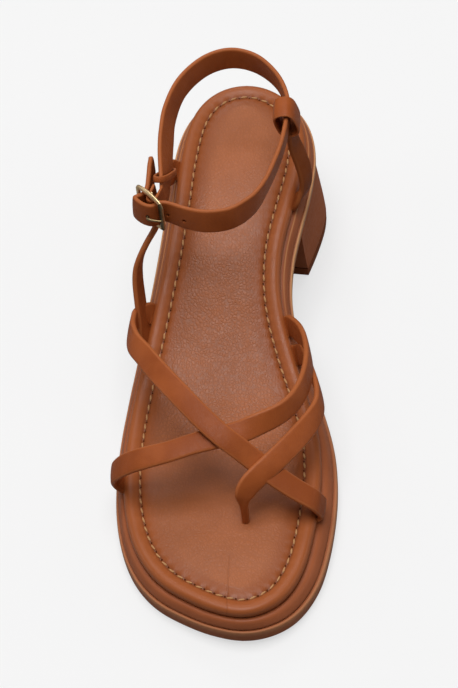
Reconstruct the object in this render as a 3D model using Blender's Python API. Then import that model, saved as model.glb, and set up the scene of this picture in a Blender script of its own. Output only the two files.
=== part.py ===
"""Right shoe of a strappy sandal on a block heel, in metres, +Z up, toe towards -Y.

Tables hold shoe coordinates in millimetres: along runs from the toe tip to the back of the
heel, across runs from the lateral side (negative) to the medial side (positive), and height
is measured from the floor. place() turns them into world metres.
"""
import math

import bmesh
import bpy
import numpy as np

MM = 0.001
CENTRE_ALONG = 124.91
CENTRE_ACROSS = -1.08
GAP = 0.3
POCKET_GAP = 0.5

STATIONS = 38
MIDSOLE_THICKNESS = 4.6

# The insole's edge, once round from the toe tip by the medial side, and the width of the
# platform rim that shows outside it.
EDGE = (
    # along, across, rim
    (4.2, 9.0, 3.8),
    (7.4, 18.7, 4.6),
    (14.7, 26.4, 5.4),
    (26.3, 31.9, 6.2),
    (40.0, 35.0, 6.6),
    (57.0, 37.1, 6.6),
    (73.0, 37.7, 6.2),
    (89.0, 36.2, 5.8),
    (107.0, 31.4, 5.6),
    (124.0, 25.6, 5.2),
    (139.0, 21.2, 4.6),
    (152.0, 19.4, 4.5),
    (166.0, 20.2, 4.5),
    (182.0, 23.8, 4.3),
    (198.0, 27.4, 4.0),
    (213.0, 28.8, 4.0),
    (226.0, 26.8, 4.0),
    (236.0, 21.4, 4.0),
    (243.0, 12.4, 4.0),
    (245.4, 2.0, 4.0),
    (242.6, -8.4, 4.0),
    (235.0, -16.6, 4.2),
    (223.0, -21.6, 4.4),
    (205.0, -24.4, 4.4),
    (185.0, -26.2, 4.4),
    (165.0, -28.8, 4.4),
    (146.0, -32.4, 4.2),
    (128.0, -36.2, 4.0),
    (109.0, -39.8, 3.9),
    (90.0, -41.9, 3.9),
    (72.0, -42.2, 3.9),
    (55.0, -40.8, 4.0),
    (40.0, -37.2, 4.2),
    (28.0, -31.4, 4.4),
    (18.6, -23.4, 4.3),
    (11.6, -13.0, 4.0),
    (6.4, -2.0, 3.8),
)

# Underside of the outsole: toe spring, flat forefoot, arch and heel seat.
TREAD_LINE = (
    # along, height
    (0.0, 3.0),
    (10.0, 1.2),
    (26.0, 0.0),
    (86.0, 0.0),
    (102.0, 1.4),
    (118.0, 5.8),
    (133.0, 12.4),
    (149.0, 20.8),
    (165.0, 28.2),
    (181.0, 33.8),
    (205.0, 38.2),
    (230.0, 40.6),
    (250.0, 42.0),
)
OUTSOLE_THICKNESS = (
    # along, thickness
    (0.0, 6.8),
    (90.0, 7.0),
    (120.0, 6.2),
    (150.0, 5.2),
    (181.0, 4.7),
    (250.0, 4.7),
)

# Side profiles, from the underside up. reach is how far out a row stands, as a share of the
# rim, and level is its height as a share of the layer's thickness.
OUTSOLE_PROFILE = (
    # reach, level
    (0.72, 0.00),
    (0.92, 0.06),
    (0.99, 0.30),
    (1.00, 0.78),
    (0.94, 0.96),
    (0.80, 1.00),
)
MIDSOLE_PROFILE = (
    # reach, level
    (0.50, 0.00),
    (0.60, 0.08),
    (0.60, 0.45),
    (0.50, 0.80),
    (0.30, 0.97),
    (0.00, 1.00),
)
# The padded insole: rolled edge, stitched channel and crowned middle.
INSOLE_PROFILE = (
    # inset, level in mm
    (1.4, 0.0),
    (0.2, 1.0),
    (0.0, 2.2),
    (0.7, 3.7),
    (2.1, 4.8),
    (3.8, 5.0),
    (5.5, 4.5),
    (6.8, 3.8),
    (8.3, 4.2),
    (11.5, 4.7),
)
INSOLE_CROWN = 5.1
CROWN_SHARE = 0.5

# Heel block: how its sides and breast change from the seat down to the top piece.
HEEL_SECTIONS = (
    # drop, breast, flare, back
    (0.00, 178.6, -0.8, 248.4),
    (0.12, 179.0, -0.4, 248.4),
    (0.35, 180.0, 0.6, 248.3),
    (0.60, 181.4, 1.8, 247.8),
    (0.82, 182.8, 2.8, 247.2),
    (1.00, 184.0, 3.4, 246.6),
)
HEEL_STATIONS = 14
BREAST_STEPS = 4
BREAST_HOLLOW = 2.2
BREAST_FLARE_LENGTH = 34.0
TOP_PIECE_THICKNESS = 4.6
TOP_PIECE_BEVEL = 0.8

STRAP_WIDTH = 9.2
STRAP_THICKNESS = 2.7
ANKLE_WIDTH = 11.4
ANKLE_THICKNESS = 2.2
LOOP_WALL = 1.2

# Cross-section of a strap with turned edges, as shares of its width and thickness.
STRAP_SECTION = (
    # aside, out
    (-0.50, -0.20),
    (-0.50, 0.20),
    (-0.43, 0.44),
    (0.00, 0.50),
    (0.43, 0.44),
    (0.50, 0.20),
    (0.50, -0.20),
    (0.43, -0.46),
    (-0.43, -0.46),
)

# Strap routes over the foot, by the middle of the strap. lean is how far its outer face turns
# down from facing straight up, turn is the compass direction it faces (0 is medial, -90 is
# forward), and taper is the width there as a share of the full width.
LONG_STRAP = (
    # across, along, height, lean, turn, taper
    (37.8, 52.4, 20.6, 76, -11, 1.0),
    (35.2, 51.8, 25.8, 54, -18, 1.0),
    (28.2, 53.8, 30.2, 38, -30, 1.0),
    (21.4, 56.6, 34.2, 36, -40, 1.0),
    (13.8, 60.2, 38.8, 34, -45, 1.0),
    (6.9, 63.2, 44.2, 28, -60, 1.0),
    (0.6, 66.5, 47.9, 20, -80, 1.0),
    (-7.4, 73.4, 50.1, 13, -115, 1.0),
    (-16.8, 83.9, 50.8, 17, -143, 1.0),
    (-26.9, 96.6, 49.8, 26, -158, 1.0),
    (-33.2, 106.2, 47.8, 40, -166, 1.0),
    (-37.9, 113.9, 45.0, 54, -172, 1.0),
    (-40.1, 122.0, 41.6, 70, -176, 1.0),
    (-40.3, 129.2, 38.2, 82, 178, 1.0),
    (-39.2, 135.0, 34.6, 96, 176, 1.0),
)
CROSS_STRAP = (
    (-44.8, 65.4, 21.4, 88, -178, 1.0),
    (-44.0, 63.2, 27.6, 72, -174, 1.0),
    (-40.6, 61.9, 33.4, 52, -160, 1.0),
    (-36.0, 61.4, 37.6, 38, -144, 1.0),
    (-30.4, 61.4, 40.4, 28, -138, 1.0),
    (-20.4, 62.6, 43.2, 15, -142, 1.0),
    (-12.2, 65.0, 44.4, 12, -130, 1.0),
    (-4.7, 67.1, 45.0, 16, -105, 1.0),
    (6.0, 70.1, 45.3, 24, -80, 1.0),
    (13.7, 73.4, 46.2, 44, -62, 1.0),
    (22.4, 78.5, 46.4, 62, -42, 1.0),
    (28.0, 85.4, 45.6, 67, -25, 1.0),
    (31.4, 95.4, 43.6, 71, -10, 1.0),
    (32.5, 107.0, 41.0, 76, -3, 1.0),
    (31.2, 117.4, 38.2, 84, 0, 1.0),
    (28.2, 126.4, 34.6, 94, 6, 1.0),
)
TOE_STRAP = (
    (29.3, 118.8, 31.0, 97, 7, 1.0),
    (32.0, 112.0, 32.6, 90, 2, 1.0),
    (35.2, 102.6, 33.8, 83, -5, 1.0),
    (36.9, 94.6, 34.8, 76, -10, 1.0),
    (36.5, 87.6, 35.9, 66, -16, 1.0),
    (33.2, 79.2, 37.5, 48, -20, 1.0),
    (26.7, 69.0, 38.6, 33, -30, 1.0),
    (19.2, 60.1, 38.2, 36, -42, 1.0),
    (14.1, 55.2, 37.0, 44, -52, 1.0),
    (10.5, 51.8, 35.0, 54, -62, 1.0),
    (8.8, 49.6, 32.4, 66, -74, 0.88),
    (8.3, 48.7, 29.6, 76, -84, 0.60),
    (8.3, 48.2, 26.6, 84, -88, 0.40),
    (8.4, 47.5, 21.0, 90, -90, 0.35),
    (8.4, 46.9, 14.8, 90, -90, 0.35),
)
SIDE_FRONT_LEG = (
    (-37.4, 136.6, 33.0, 92, 168, 1.13),
    (-37.9, 140.0, 40.0, 90, 167, 1.13),
    (-38.4, 144.4, 47.6, 86, 166, 1.13),
    (-38.0, 147.4, 53.2, 80, 165, 1.13),
    (-36.4, 149.6, 58.0, 75, 164, 1.13),
    (-33.6, 152.2, 63.0, 72, 163, 1.11),
    (-30.2, 155.6, 67.6, 74, 165, 1.04),
    (-27.8, 159.6, 71.4, 80, 172, 0.95),
    (-26.2, 164.2, 74.4, 88, 180, 0.84),
    (-25.5, 169.0, 76.8, 92, 180, 0.72),
    (-25.3, 173.0, 78.6, 92, 180, 0.63),
)
SIDE_BACK_LEG = (
    (-27.4, 197.4, 53.6, 88, 184, 1.13),
    (-28.6, 191.4, 60.0, 88, 184, 1.13),
    (-28.7, 185.0, 66.0, 88, 182, 1.13),
    (-27.6, 180.0, 71.0, 88, 180, 1.07),
    (-26.2, 176.6, 75.4, 90, 180, 0.95),
    (-25.5, 175.2, 78.2, 92, 180, 0.84),
    (-25.3, 174.8, 79.6, 92, 180, 0.79),
)
HEEL_STRAP = (
    (29.4, 189.0, 53.6, 84, -22, 1.0),
    (29.6, 190.6, 60.6, 80, -24, 1.0),
    (27.8, 192.4, 68.6, 77, -22, 1.0),
    (25.6, 193.4, 76.6, 80, -16, 1.0),
    (24.6, 193.8, 84.8, 88, -10, 1.0),
)
# From the fold at the buckle, back round the heel, through the medial loop, across the front,
# through the buckle and back to the tail. lean is as above; the strap faces left of its route.
ANKLE_ROUTE = (
    # across, along, height, lean
    (-25.5, 157.6, 85.2, 92),
    (-25.2, 162.2, 86.0, 98),
    (-25.2, 168.0, 87.2, 106),
    (-25.4, 176.0, 89.0, 112),
    (-25.4, 184.6, 90.6, 112),
    (-24.6, 196.0, 92.2, 106),
    (-20.4, 209.6, 93.4, 98),
    (-11.4, 220.6, 94.0, 94),
    (-0.6, 224.8, 94.2, 92),
    (10.4, 221.6, 93.8, 90),
    (19.4, 212.0, 93.2, 86),
    (23.4, 200.6, 92.2, 92),
    (23.4, 190.4, 91.0, 92),
    (21.6, 179.0, 89.6, 95),
    (18.8, 169.4, 88.4, 96),
    (15.6, 161.0, 87.2, 96),
    (12.0, 154.2, 86.3, 90),
    (7.8, 149.8, 85.7, 84),
    (3.0, 146.6, 85.3, 82),
    (-3.0, 145.3, 84.8, 80),
    (-9.2, 145.5, 84.5, 80),
    (-15.6, 147.3, 84.3, 81),
    (-20.4, 149.4, 84.3, 83),
    (-23.8, 150.5, 84.6, 85),
    (-26.3, 150.1, 84.8, 85),
    (-28.9, 148.1, 85.0, 82),
    (-32.3, 148.9, 85.0, 82),
    (-35.4, 151.4, 85.0, 83),
    (-36.4, 153.4, 85.0, 86),
    (-34.7, 154.3, 85.0, 90),
    (-32.4, 155.8, 85.0, 90),
    (-31.3, 158.8, 85.2, 92),
    (-31.0, 163.0, 86.0, 92),
    (-30.8, 167.6, 87.2, 92),
    (-30.6, 171.6, 88.2, 92),
    (-31.0, 174.2, 88.8, 92),
)
FOLD_END = (-28.6, 159.6, 85.4)
FOLD_THICKNESS = 1.4

# Buckle: a bowed frame of flattened wire with a bar across its middle for the fold.
FRAME_FRONT = (-25.3, 147.2)
FRAME_BACK = (-34.9, 157.0)
FRAME_HEIGHT = 85.0
FRAME_SPAN = 15.4
FRAME_WIRE = 0.75
FRAME_FLATNESS = 1.5
FRONT_FLATNESS = 2.0
FRAME_CORNER = 1.2
FRAME_BOW = 0.25
FRAME_ARCH = 0.3
BAR_BOW = 1.1
BAR_WIRE = 0.65
FOLD_RADIUS = 1.65
PRONG_WIDTH = 1.1
PRONG_ROUTE = (
    # across, along, height
    (-29.6, 151.9, 85.0),
    (-30.4, 149.6, 85.0),
    (-31.0, 147.4, 85.0),
    (-30.8, 146.2, 85.0),
    (-29.4, 145.6, 85.0),
    (-27.2, 145.1, 85.0),
    (-24.9, 144.9, 85.0),
)
HOLE_RADIUS = 0.8
HOLES = (
    # across, along, height, direction it is punched in
    (-22.6, 150.4, 83.6, 67),
    (-15.8, 148.1, 83.3, 70),
)


def hermite(rows):
    """A smooth curve through a table of (place, value) that never overshoots a row."""
    place = np.array([row[0] for row in rows], float)
    value = np.array([row[1] for row in rows], float)
    slope = np.diff(value) / np.diff(place)
    tangent = np.zeros(len(place))
    same_way = slope[:-1] * slope[1:] > 0
    total = slope[:-1] + slope[1:]
    tangent[1:-1][same_way] = 2 * slope[:-1][same_way] * slope[1:][same_way] / total[same_way]
    tangent[0], tangent[-1] = slope[0], slope[-1]

    def at(x):
        x = np.clip(x, place[0], place[-1])
        i = np.clip(np.searchsorted(place, x, side="right") - 1, 0, len(place) - 2)
        span = place[i + 1] - place[i]
        t = (x - place[i]) / span
        rise = value[i + 1] - value[i]
        start, end = tangent[i] * span, tangent[i + 1] * span
        return value[i] + t * start + t**2 * (3 * rise - 2 * start - end) + t**3 * (start + end - 2 * rise)

    return at


def catmull(points, steps, closed=False):
    """Points on a Catmull-Rom curve through a list of points, steps to each stretch."""
    points = np.asarray(points, float)
    if closed:
        padded = np.concatenate([points[-1:], points, points[:2]])
    else:
        padded = np.concatenate([2 * points[:1] - points[1:2], points, 2 * points[-1:] - points[-2:-1]])
    out = []
    for i in range(1, len(padded) - 2):
        a, b, c, d = padded[i - 1:i + 3]
        for t in np.arange(steps) / steps:
            out.append(b + 0.5 * t * (c - a + t * (2 * a - 5 * b + 4 * c - d + t * (3 * (b - c) + d - a))))
    if not closed:
        out.append(points[-1])
    return np.array(out)


tread = hermite(TREAD_LINE)
outsole_thickness = hermite(OUTSOLE_THICKNESS)


def outsole_top(along):
    return tread(along) + outsole_thickness(along)


def midsole_top(along):
    return outsole_top(along) + GAP + MIDSOLE_THICKNESS


def insole_base(along):
    return midsole_top(along) + GAP


def rim_samples():
    """Paired samples round the insole's edge: tip, medial side, heel, lateral side back."""
    ring = catmull(EDGE, 24, closed=True)
    toe, heel = int(ring[:, 0].argmin()), int(ring[:, 0].argmax())
    ahead = np.roll(ring, -1, axis=0) - np.roll(ring, 1, axis=0)
    length = np.hypot(ahead[:, 0], ahead[:, 1])
    outward = np.stack([-ahead[:, 1] / length, ahead[:, 0] / length], axis=1)
    ring = np.column_stack([ring, outward])
    ring = np.roll(ring, -toe, axis=0)
    heel = (heel - toe) % len(ring)
    medial, lateral = ring[:heel + 1], np.vstack([ring[heel:], ring[:1]])[::-1]
    turn = np.linspace(0, math.pi, STATIONS + 1)
    even = (1 - np.cos(turn)) / 2
    station = ring[0, 0] + (ring[heel, 0] - ring[0, 0]) * (0.88 * even + 0.12 * turn / math.pi)
    sides = []
    for side in (medial, lateral):
        columns = [np.interp(station, side[:, 0], side[:, i]) for i in range(side.shape[1])]
        sides.append(np.stack(columns, axis=1))
    return np.vstack([sides[0], sides[1][1:-1][::-1]])


RIM = rim_samples()
COUNT = len(RIM)


def outline(offset):
    """(across, along) round the sole, offset outward by a number or one number a sample."""
    across = RIM[:, 1] + RIM[:, 4] * offset
    along = RIM[:, 0] + RIM[:, 3] * offset
    return np.stack([across, along], axis=1)


def edge_at(side, along, offset=0.0):
    """(across, along) on the insole's edge at a station of one side, offset outward."""
    rows = RIM[:STATIONS + 1] if side > 0 else np.vstack([RIM[:1], RIM[STATIONS:][::-1]])
    across, out_along, out_across = (np.interp(along, rows[:, 0], rows[:, i]) for i in (1, 3, 4))
    return across + out_across * offset, along + out_along * offset


def place(points):
    points = np.asarray(points, float)
    return (points - (CENTRE_ACROSS, CENTRE_ALONG, 0.0)) * MM


def new_object(name, vertices, faces, finish):
    mesh = bpy.data.meshes.new(name)
    mesh.from_pydata([tuple(p) for p in place(vertices)], [], faces)
    shaped = bmesh.new()
    shaped.from_mesh(mesh)
    bmesh.ops.triangulate(shaped, faces=shaped.faces)
    bmesh.ops.recalc_face_normals(shaped, faces=shaped.faces)
    shaped.to_mesh(mesh)
    shaped.free()
    mesh.shade_smooth()
    mesh.set_sharp_from_angle(angle=math.radians(40))
    mesh.materials.append(material(**finish))
    made = bpy.data.objects.new(name, mesh)
    bpy.context.scene.collection.objects.link(made)
    return made


def material(name, colour, roughness, metallic=0.0):
    found = bpy.data.materials.get(name)
    if found:
        return found
    made = bpy.data.materials.new(name)
    made.use_nodes = True
    shader = made.node_tree.nodes["Principled BSDF"]
    shader.inputs["Base Color"].default_value = (*colour, 1.0)
    shader.inputs["Roughness"].default_value = roughness
    shader.inputs["Metallic"].default_value = metallic
    return made


STRAP_LEATHER = {"name": "strap_leather", "colour": (0.33, 0.11, 0.035), "roughness": 0.42}
INSOLE_LEATHER = {"name": "insole_leather", "colour": (0.34, 0.13, 0.055), "roughness": 0.45}
SOLE_RUBBER = {"name": "sole_unit", "colour": (0.22, 0.08, 0.035), "roughness": 0.5}
MIDSOLE_FINISH = {"name": "midsole_band", "colour": (0.26, 0.10, 0.045), "roughness": 0.45}
TOP_PIECE_FINISH = {"name": "top_piece", "colour": (0.12, 0.045, 0.02), "roughness": 0.6}
BUCKLE_METAL = {"name": "buckle_metal", "colour": (0.80, 0.60, 0.32), "roughness": 0.25, "metallic": 1.0}


def strips(first, count):
    """Faces that close one ring of paired samples, from side to side."""
    half = count // 2
    faces = [(first, first + 1, first + count - 1)]
    for k in range(1, half - 1):
        faces.append((first + k, first + k + 1, first + count - k - 1, first + count - k))
    faces.append((first + half - 1, first + half, first + half + 1))
    return faces


def rings_to_solid(rings):
    """Vertices and faces of a solid whose rings of paired samples are given from below up."""
    count = len(rings[0])
    faces = list(strips(0, count))
    for j in range(len(rings) - 1):
        for k in range(count):
            a, b = j * count + k, j * count + (k + 1) % count
            faces.append((a, b, b + count, a + count))
    faces += strips((len(rings) - 1) * count, count)
    return np.vstack(rings), faces


def layer(name, profile, base, thickness, finish):
    """One layer of the platform: its side profile swept round the sole."""
    rings = []
    for reach, level in profile:
        flat = outline(RIM[:, 2] * reach)
        height = base(flat[:, 1]) + level * thickness(flat[:, 1])
        rings.append(np.column_stack([flat, height]))
    return new_object(name, *rings_to_solid(rings), finish)


def build_insole():
    rings = []
    for inset, level in INSOLE_PROFILE:
        flat = outline(-inset)
        rings.append(np.column_stack([flat, insole_base(flat[:, 1]) + level]))
    pad = outline(-INSOLE_PROFILE[-1][0])
    mirrored = np.roll(pad[::-1], 1, axis=0)
    crown = pad + (mirrored - pad) * CROWN_SHARE / 2
    crown[:, 1] = CENTRE_ALONG + (crown[:, 1] - CENTRE_ALONG) * 0.94
    rings.append(np.column_stack([crown, insole_base(crown[:, 1]) + INSOLE_CROWN]))
    return new_object("insole", *rings_to_solid(rings), INSOLE_LEATHER)


def heel_outline(breast, flare, back):
    """(across, along) round one level of the heel, from the breast's medial corner."""
    full = outline(RIM[:, 2])
    half = COUNT // 2
    medial, lateral = full[:half + 1], np.vstack([full[:1], full[half:][::-1]])
    share = np.sin(np.linspace(0, math.pi / 2, HEEL_STATIONS))
    end = full[half]
    station = breast + (end[1] - breast) * share
    sides = []
    for sign, side in ((1, medial), (-1, lateral)):
        across = np.interp(station, side[:, 1], side[:, 0])
        middle = end[0]
        grown = flare * np.clip((station - breast) / BREAST_FLARE_LENGTH, 0, 1)
        width = (across - middle) * sign
        scale = 1 + grown / width.max()
        along = breast + (station - breast) * (back - breast) / (end[1] - breast)
        sides.append(np.stack([middle + sign * width * scale, along], axis=1))
    breast_line = []
    start, finish = sides[1][0], sides[0][0]
    for share in np.linspace(0, 1, BREAST_STEPS + 1)[1:-1]:
        across = start[0] + (finish[0] - start[0]) * share
        hollow = BREAST_HOLLOW * math.sin(math.pi * share)
        breast_line.append((across, breast + hollow))
    return np.vstack([sides[0], sides[1][:-1][::-1], np.array(breast_line)])


def build_heel():
    """The block under the seat, down to the top piece."""
    floor = TOP_PIECE_THICKNESS + GAP
    rings = []
    for drop, breast, flare, back in HEEL_SECTIONS:
        flat = heel_outline(breast, flare, back)
        seat = tread(flat[:, 1]) - GAP
        rings.append(np.column_stack([flat, seat + (floor - seat) * drop]))
    return new_object("heel_block", *heel_solid(rings), SOLE_RUBBER)


def heel_solid(rings):
    """Closes the rings of the heel at both ends and joins them."""
    count = len(rings[0])
    last = HEEL_STATIONS - 1
    sides = 2 * last + 1
    faces = []
    for end in (0, len(rings) - 1):
        first = end * count
        for k in range(1, last - 1):
            faces.append((first + k, first + k + 1, first + sides - k - 2, first + sides - k - 1))
        faces.append((first + last - 1, first + last, first + last + 1))
        breast = [first + sides + i for i in range(BREAST_STEPS - 1)]
        faces.append(tuple([first, first + 1, first + sides - 2, first + sides - 1] + breast))
    for j in range(len(rings) - 1):
        for k in range(count):
            a, b = j * count + k, j * count + (k + 1) % count
            faces.append((a, b, b + count, a + count))
    return np.vstack(rings), faces


def build_top_piece():
    drop, breast, flare, back = HEEL_SECTIONS[-1]
    rings = []
    for height, inset in ((0.0, TOP_PIECE_BEVEL), (TOP_PIECE_BEVEL, 0.1), (TOP_PIECE_THICKNESS, 0.1)):
        flat = heel_outline(breast + inset, flare - inset, back - inset)
        rings.append(np.column_stack([flat, np.full(len(flat), height)]))
    return new_object("heel_top_piece", *heel_solid(rings), TOP_PIECE_FINISH)


def facing(lean, turn):
    """The direction a strap faces, from its lean and compass turn in degrees."""
    lean, turn = math.radians(lean), math.radians(turn)
    return math.sin(lean) * math.cos(turn), math.sin(lean) * math.sin(turn), math.cos(lean)


def unit(vector):
    return vector / np.linalg.norm(vector)


def sweep(centres, facings, widths, thickness, grow=0.0):
    """Vertices and faces of a strap: its section carried along a line of centres."""
    rings = []
    for i, (centre, facing) in enumerate(zip(centres, facings)):
        along = unit(centres[min(i + 1, len(centres) - 1)] - centres[max(i - 1, 0)])
        out = unit(facing - along * np.dot(facing, along))
        aside = np.cross(along, out)
        wide, thick = widths[i] + 2 * grow, thickness[i] + 2 * grow
        rings.append([centre + aside * a * wide + out * o * thick for a, o in STRAP_SECTION])
    count = len(STRAP_SECTION)
    faces = [tuple(range(count))[::-1]]
    for j in range(len(rings) - 1):
        for k in range(count):
            a, b = j * count + k, j * count + (k + 1) % count
            faces.append((a, b, b + count, a + count))
    faces.append(tuple(range((len(rings) - 1) * count, len(rings) * count)))
    return np.vstack(rings), faces


TUCK = (
    # offset outward, height above the midsole, share of the slide along the edge, lean
    (-4.6, -0.7, 1.0, 176),
    (-0.6, 1.5, 0.45, 140),
    (1.75, 4.6, 0.0, 104),
)


def tuck(side, along, slide=0.0):
    """A strap's end: over the rolled edge and down between insole and midsole."""
    near, far = edge_at(side, along - 2.0), edge_at(side, along + 2.0)
    outward = unit(np.array([far[1] - near[1], near[0] - far[0], 0.0])) * side
    slope = (midsole_top(along + 2.0) - midsole_top(along - 2.0)) / 4.0
    up = unit(np.array([0.0, -slope, 1.0]))
    rows = []
    for offset, rise, share, lean in TUCK:
        across, station = edge_at(side, along + slide * share, offset)
        out = outward * math.sin(math.radians(lean)) + up * math.cos(math.radians(lean))
        true_lean = math.degrees(math.acos(out[2] / np.linalg.norm(out)))
        turn = math.degrees(math.atan2(out[1], out[0]))
        rows.append((across, station, midsole_top(station) + rise, true_lean, turn, 1.0))
    return rows


def strap_data(route, steps=2):
    """Smoothed centres, facings, widths and thicknesses of a strap's route."""
    full = [(across, along, height, *facing(lean, turn), taper)
            for across, along, height, lean, turn, taper in route]
    rows = catmull(full, steps)
    taper = rows[:, 6]
    widths = STRAP_WIDTH * taper
    thickness = STRAP_THICKNESS * (1 + 0.55 * (1 - taper))
    return rows[:, :3], rows[:, 3:6], widths, thickness


def strap_solid(name, route, steps=2):
    return new_object(name, *sweep(*strap_data(route, steps)), STRAP_LEATHER)


def as_guide(made):
    """Marks an object as a helper that is no piece of the shoe."""
    made.hide_render = True
    made.display_type = "WIRE"
    return made


def combine(made, operation, helpers):
    for helper in helpers:
        step = made.modifiers.new(f"{operation.lower()}_{helper.name}", "BOOLEAN")
        step.operation = operation
        step.solver = "EXACT"
        step.object = as_guide(helper)


def pocket(name, route, at_end=False):
    """The cutter for one tucked end of a strap's route, larger than the strap all round."""
    kept = slice(-9, None) if at_end else slice(0, 9)
    rows = np.column_stack(strap_data(route))[kept]
    tip, neighbour = (rows[-1], rows[-2]) if at_end else (rows[0], rows[1])
    beyond = tip.copy()
    beyond[:3] += unit(tip[:3] - neighbour[:3]) * POCKET_GAP
    rows = np.vstack([rows, beyond] if at_end else [beyond, rows])
    centres, facings, widths, thickness = rows[:, :3], rows[:, 3:6], rows[:, 6], rows[:, 7]
    return new_object(name, *sweep(centres, facings, widths, thickness, POCKET_GAP), STRAP_LEATHER)


def loop_solid(name, centre, along, out, length, clear_width, clear_depth):
    """A loop round the ankle strap: a short rounded tube."""
    along = unit(np.array(along, float))
    out = unit(np.array(out, float) - along * np.dot(out, along))
    aside = np.cross(along, out)
    corners = 14
    rings = []
    for distance, wall in ((-0.5, 0.0), (-0.5, 1.0), (0.5, 1.0), (0.5, 0.0)):
        ring = []
        for k in range(corners):
            turn = 2 * math.pi * (k + 0.5) / corners
            half_wide = clear_width / 2 + wall * LOOP_WALL
            half_deep = clear_depth / 2 + wall * LOOP_WALL
            a = math.copysign(abs(math.cos(turn)) ** 0.6, math.cos(turn)) * half_wide
            o = math.copysign(abs(math.sin(turn)) ** 0.75, math.sin(turn)) * half_deep
            ring.append(centre + along * distance * length + aside * a + out * o)
        rings.append(ring)
    faces = []
    for j in range(4):
        for k in range(corners):
            a, b = j * corners + k, j * corners + (k + 1) % corners
            c, d = (j + 1) % 4 * corners + (k + 1) % corners, (j + 1) % 4 * corners + k
            faces.append((a, b, c, d))
    return new_object(name, np.vstack(rings), faces, STRAP_LEATHER)


def ankle_data():
    """Centres, facings, widths and thicknesses of the whole ankle strap."""
    bar = bar_place()
    start = np.array(FOLD_END[:2])
    back = unit((np.array(ANKLE_ROUTE[0][:2]) + start) / 2 - bar)
    first = math.degrees(math.atan2(back[1], back[0])) + 90
    rows = [(*FOLD_END, 90)]
    for degrees in range(0, 181, 30):
        angle = math.radians(first + degrees)
        rows.append((*(bar + FOLD_RADIUS * np.array([math.cos(angle), math.sin(angle)])), FRAME_HEIGHT, 90))
    rows = np.vstack([np.array(rows), catmull(ANKLE_ROUTE, 2)])
    centres, facings = rows[:, :3], []
    for i in range(len(rows)):
        ahead = unit(centres[min(i + 1, len(rows) - 1)] - centres[max(i - 1, 0)])
        lean = math.radians(rows[i, 3])
        left = unit(np.array([-ahead[1], ahead[0], 0.0]))
        facings.append(left * math.sin(lean) + np.array([0.0, 0.0, math.cos(lean)]))
    widths = np.full(len(centres), ANKLE_WIDTH)
    widths[-3:] *= (0.97, 0.88, 0.62)
    thickness = np.full(len(centres), ANKLE_THICKNESS)
    thickness[:9] = FOLD_THICKNESS
    thickness[9:12] = (1.6, 1.8, 2.0)
    return centres, facings, widths, thickness


def hole_cutter(name, across, along, height, direction):
    """The punch for one hole of the ankle strap."""
    middle = np.array([across, along, height])
    punch = np.array([math.cos(math.radians(direction)), math.sin(math.radians(direction)), 0.0])
    ends = [middle - punch * 3.0, middle + punch * 3.0]
    return new_object(name, *wire(ends, HOLE_RADIUS, False), STRAP_LEATHER)


def build_ankle_strap():
    strap = new_object("ankle_strap", *sweep(*ankle_data()), STRAP_LEATHER)
    punches = [hole_cutter(f"hole_punch_{i}", *row) for i, row in enumerate(HOLES)]
    route = np.array(PRONG_ROUTE[:3])
    ends = [route[0] + unit(route[0] - route[2]) * 1.2, route[2] + unit(route[2] - route[0]) * 0.4]
    punches.append(new_object("prong_slot", *wire(ends, PRONG_WIDTH / 2 + GAP, False), STRAP_LEATHER))
    combine(strap, "DIFFERENCE", punches)


def bar_place():
    """(across, along) of the buckle's middle bar, bowed inward from the frame's ends."""
    front, back = np.array(FRAME_FRONT), np.array(FRAME_BACK)
    ahead = unit(front - back)
    inward = np.array([-ahead[1], ahead[0]])
    return (front + back) / 2 + inward * BAR_BOW


def wire(points, radius, closed, flatness=1.0):
    """Vertices and faces of a wire through a line of points in one plane, wider in that plane."""
    sides = 8
    rings = []
    points = np.asarray(points, float)
    total = len(points)
    flatness = np.broadcast_to(flatness, total)
    spread = points - points.mean(axis=0)
    normal = np.linalg.svd(spread)[2][-1] if total > 2 else None
    for i, point in enumerate(points):
        before = points[(i - 1) % total] if closed else points[max(i - 1, 0)]
        after = points[(i + 1) % total] if closed else points[min(i + 1, total - 1)]
        along = unit(after - before)
        if normal is None:
            normal = np.cross(along, (0.3, 0.2, 1.0) if abs(along[2]) < 0.9 else (1.0, 0.8, 0.0))
        out = unit(normal - along * np.dot(normal, along))
        aside = np.cross(along, out)
        ring = []
        for k in range(sides):
            turn = 2 * math.pi * (k + 0.5) / sides
            ring.append(point + radius * (math.cos(turn) * out + flatness[i] * math.sin(turn) * aside))
        rings.append(ring)
    faces = []
    for j in range(total if closed else total - 1):
        for k in range(sides):
            a, b = j * sides + k, j * sides + (k + 1) % sides
            c, d = (j + 1) % total * sides + (k + 1) % sides, (j + 1) % total * sides + k
            faces.append((a, b, c, d))
    if not closed:
        faces.append(tuple(range(sides))[::-1])
        faces.append(tuple(range((total - 1) * sides, total * sides)))
    return np.vstack(rings), faces


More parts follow.
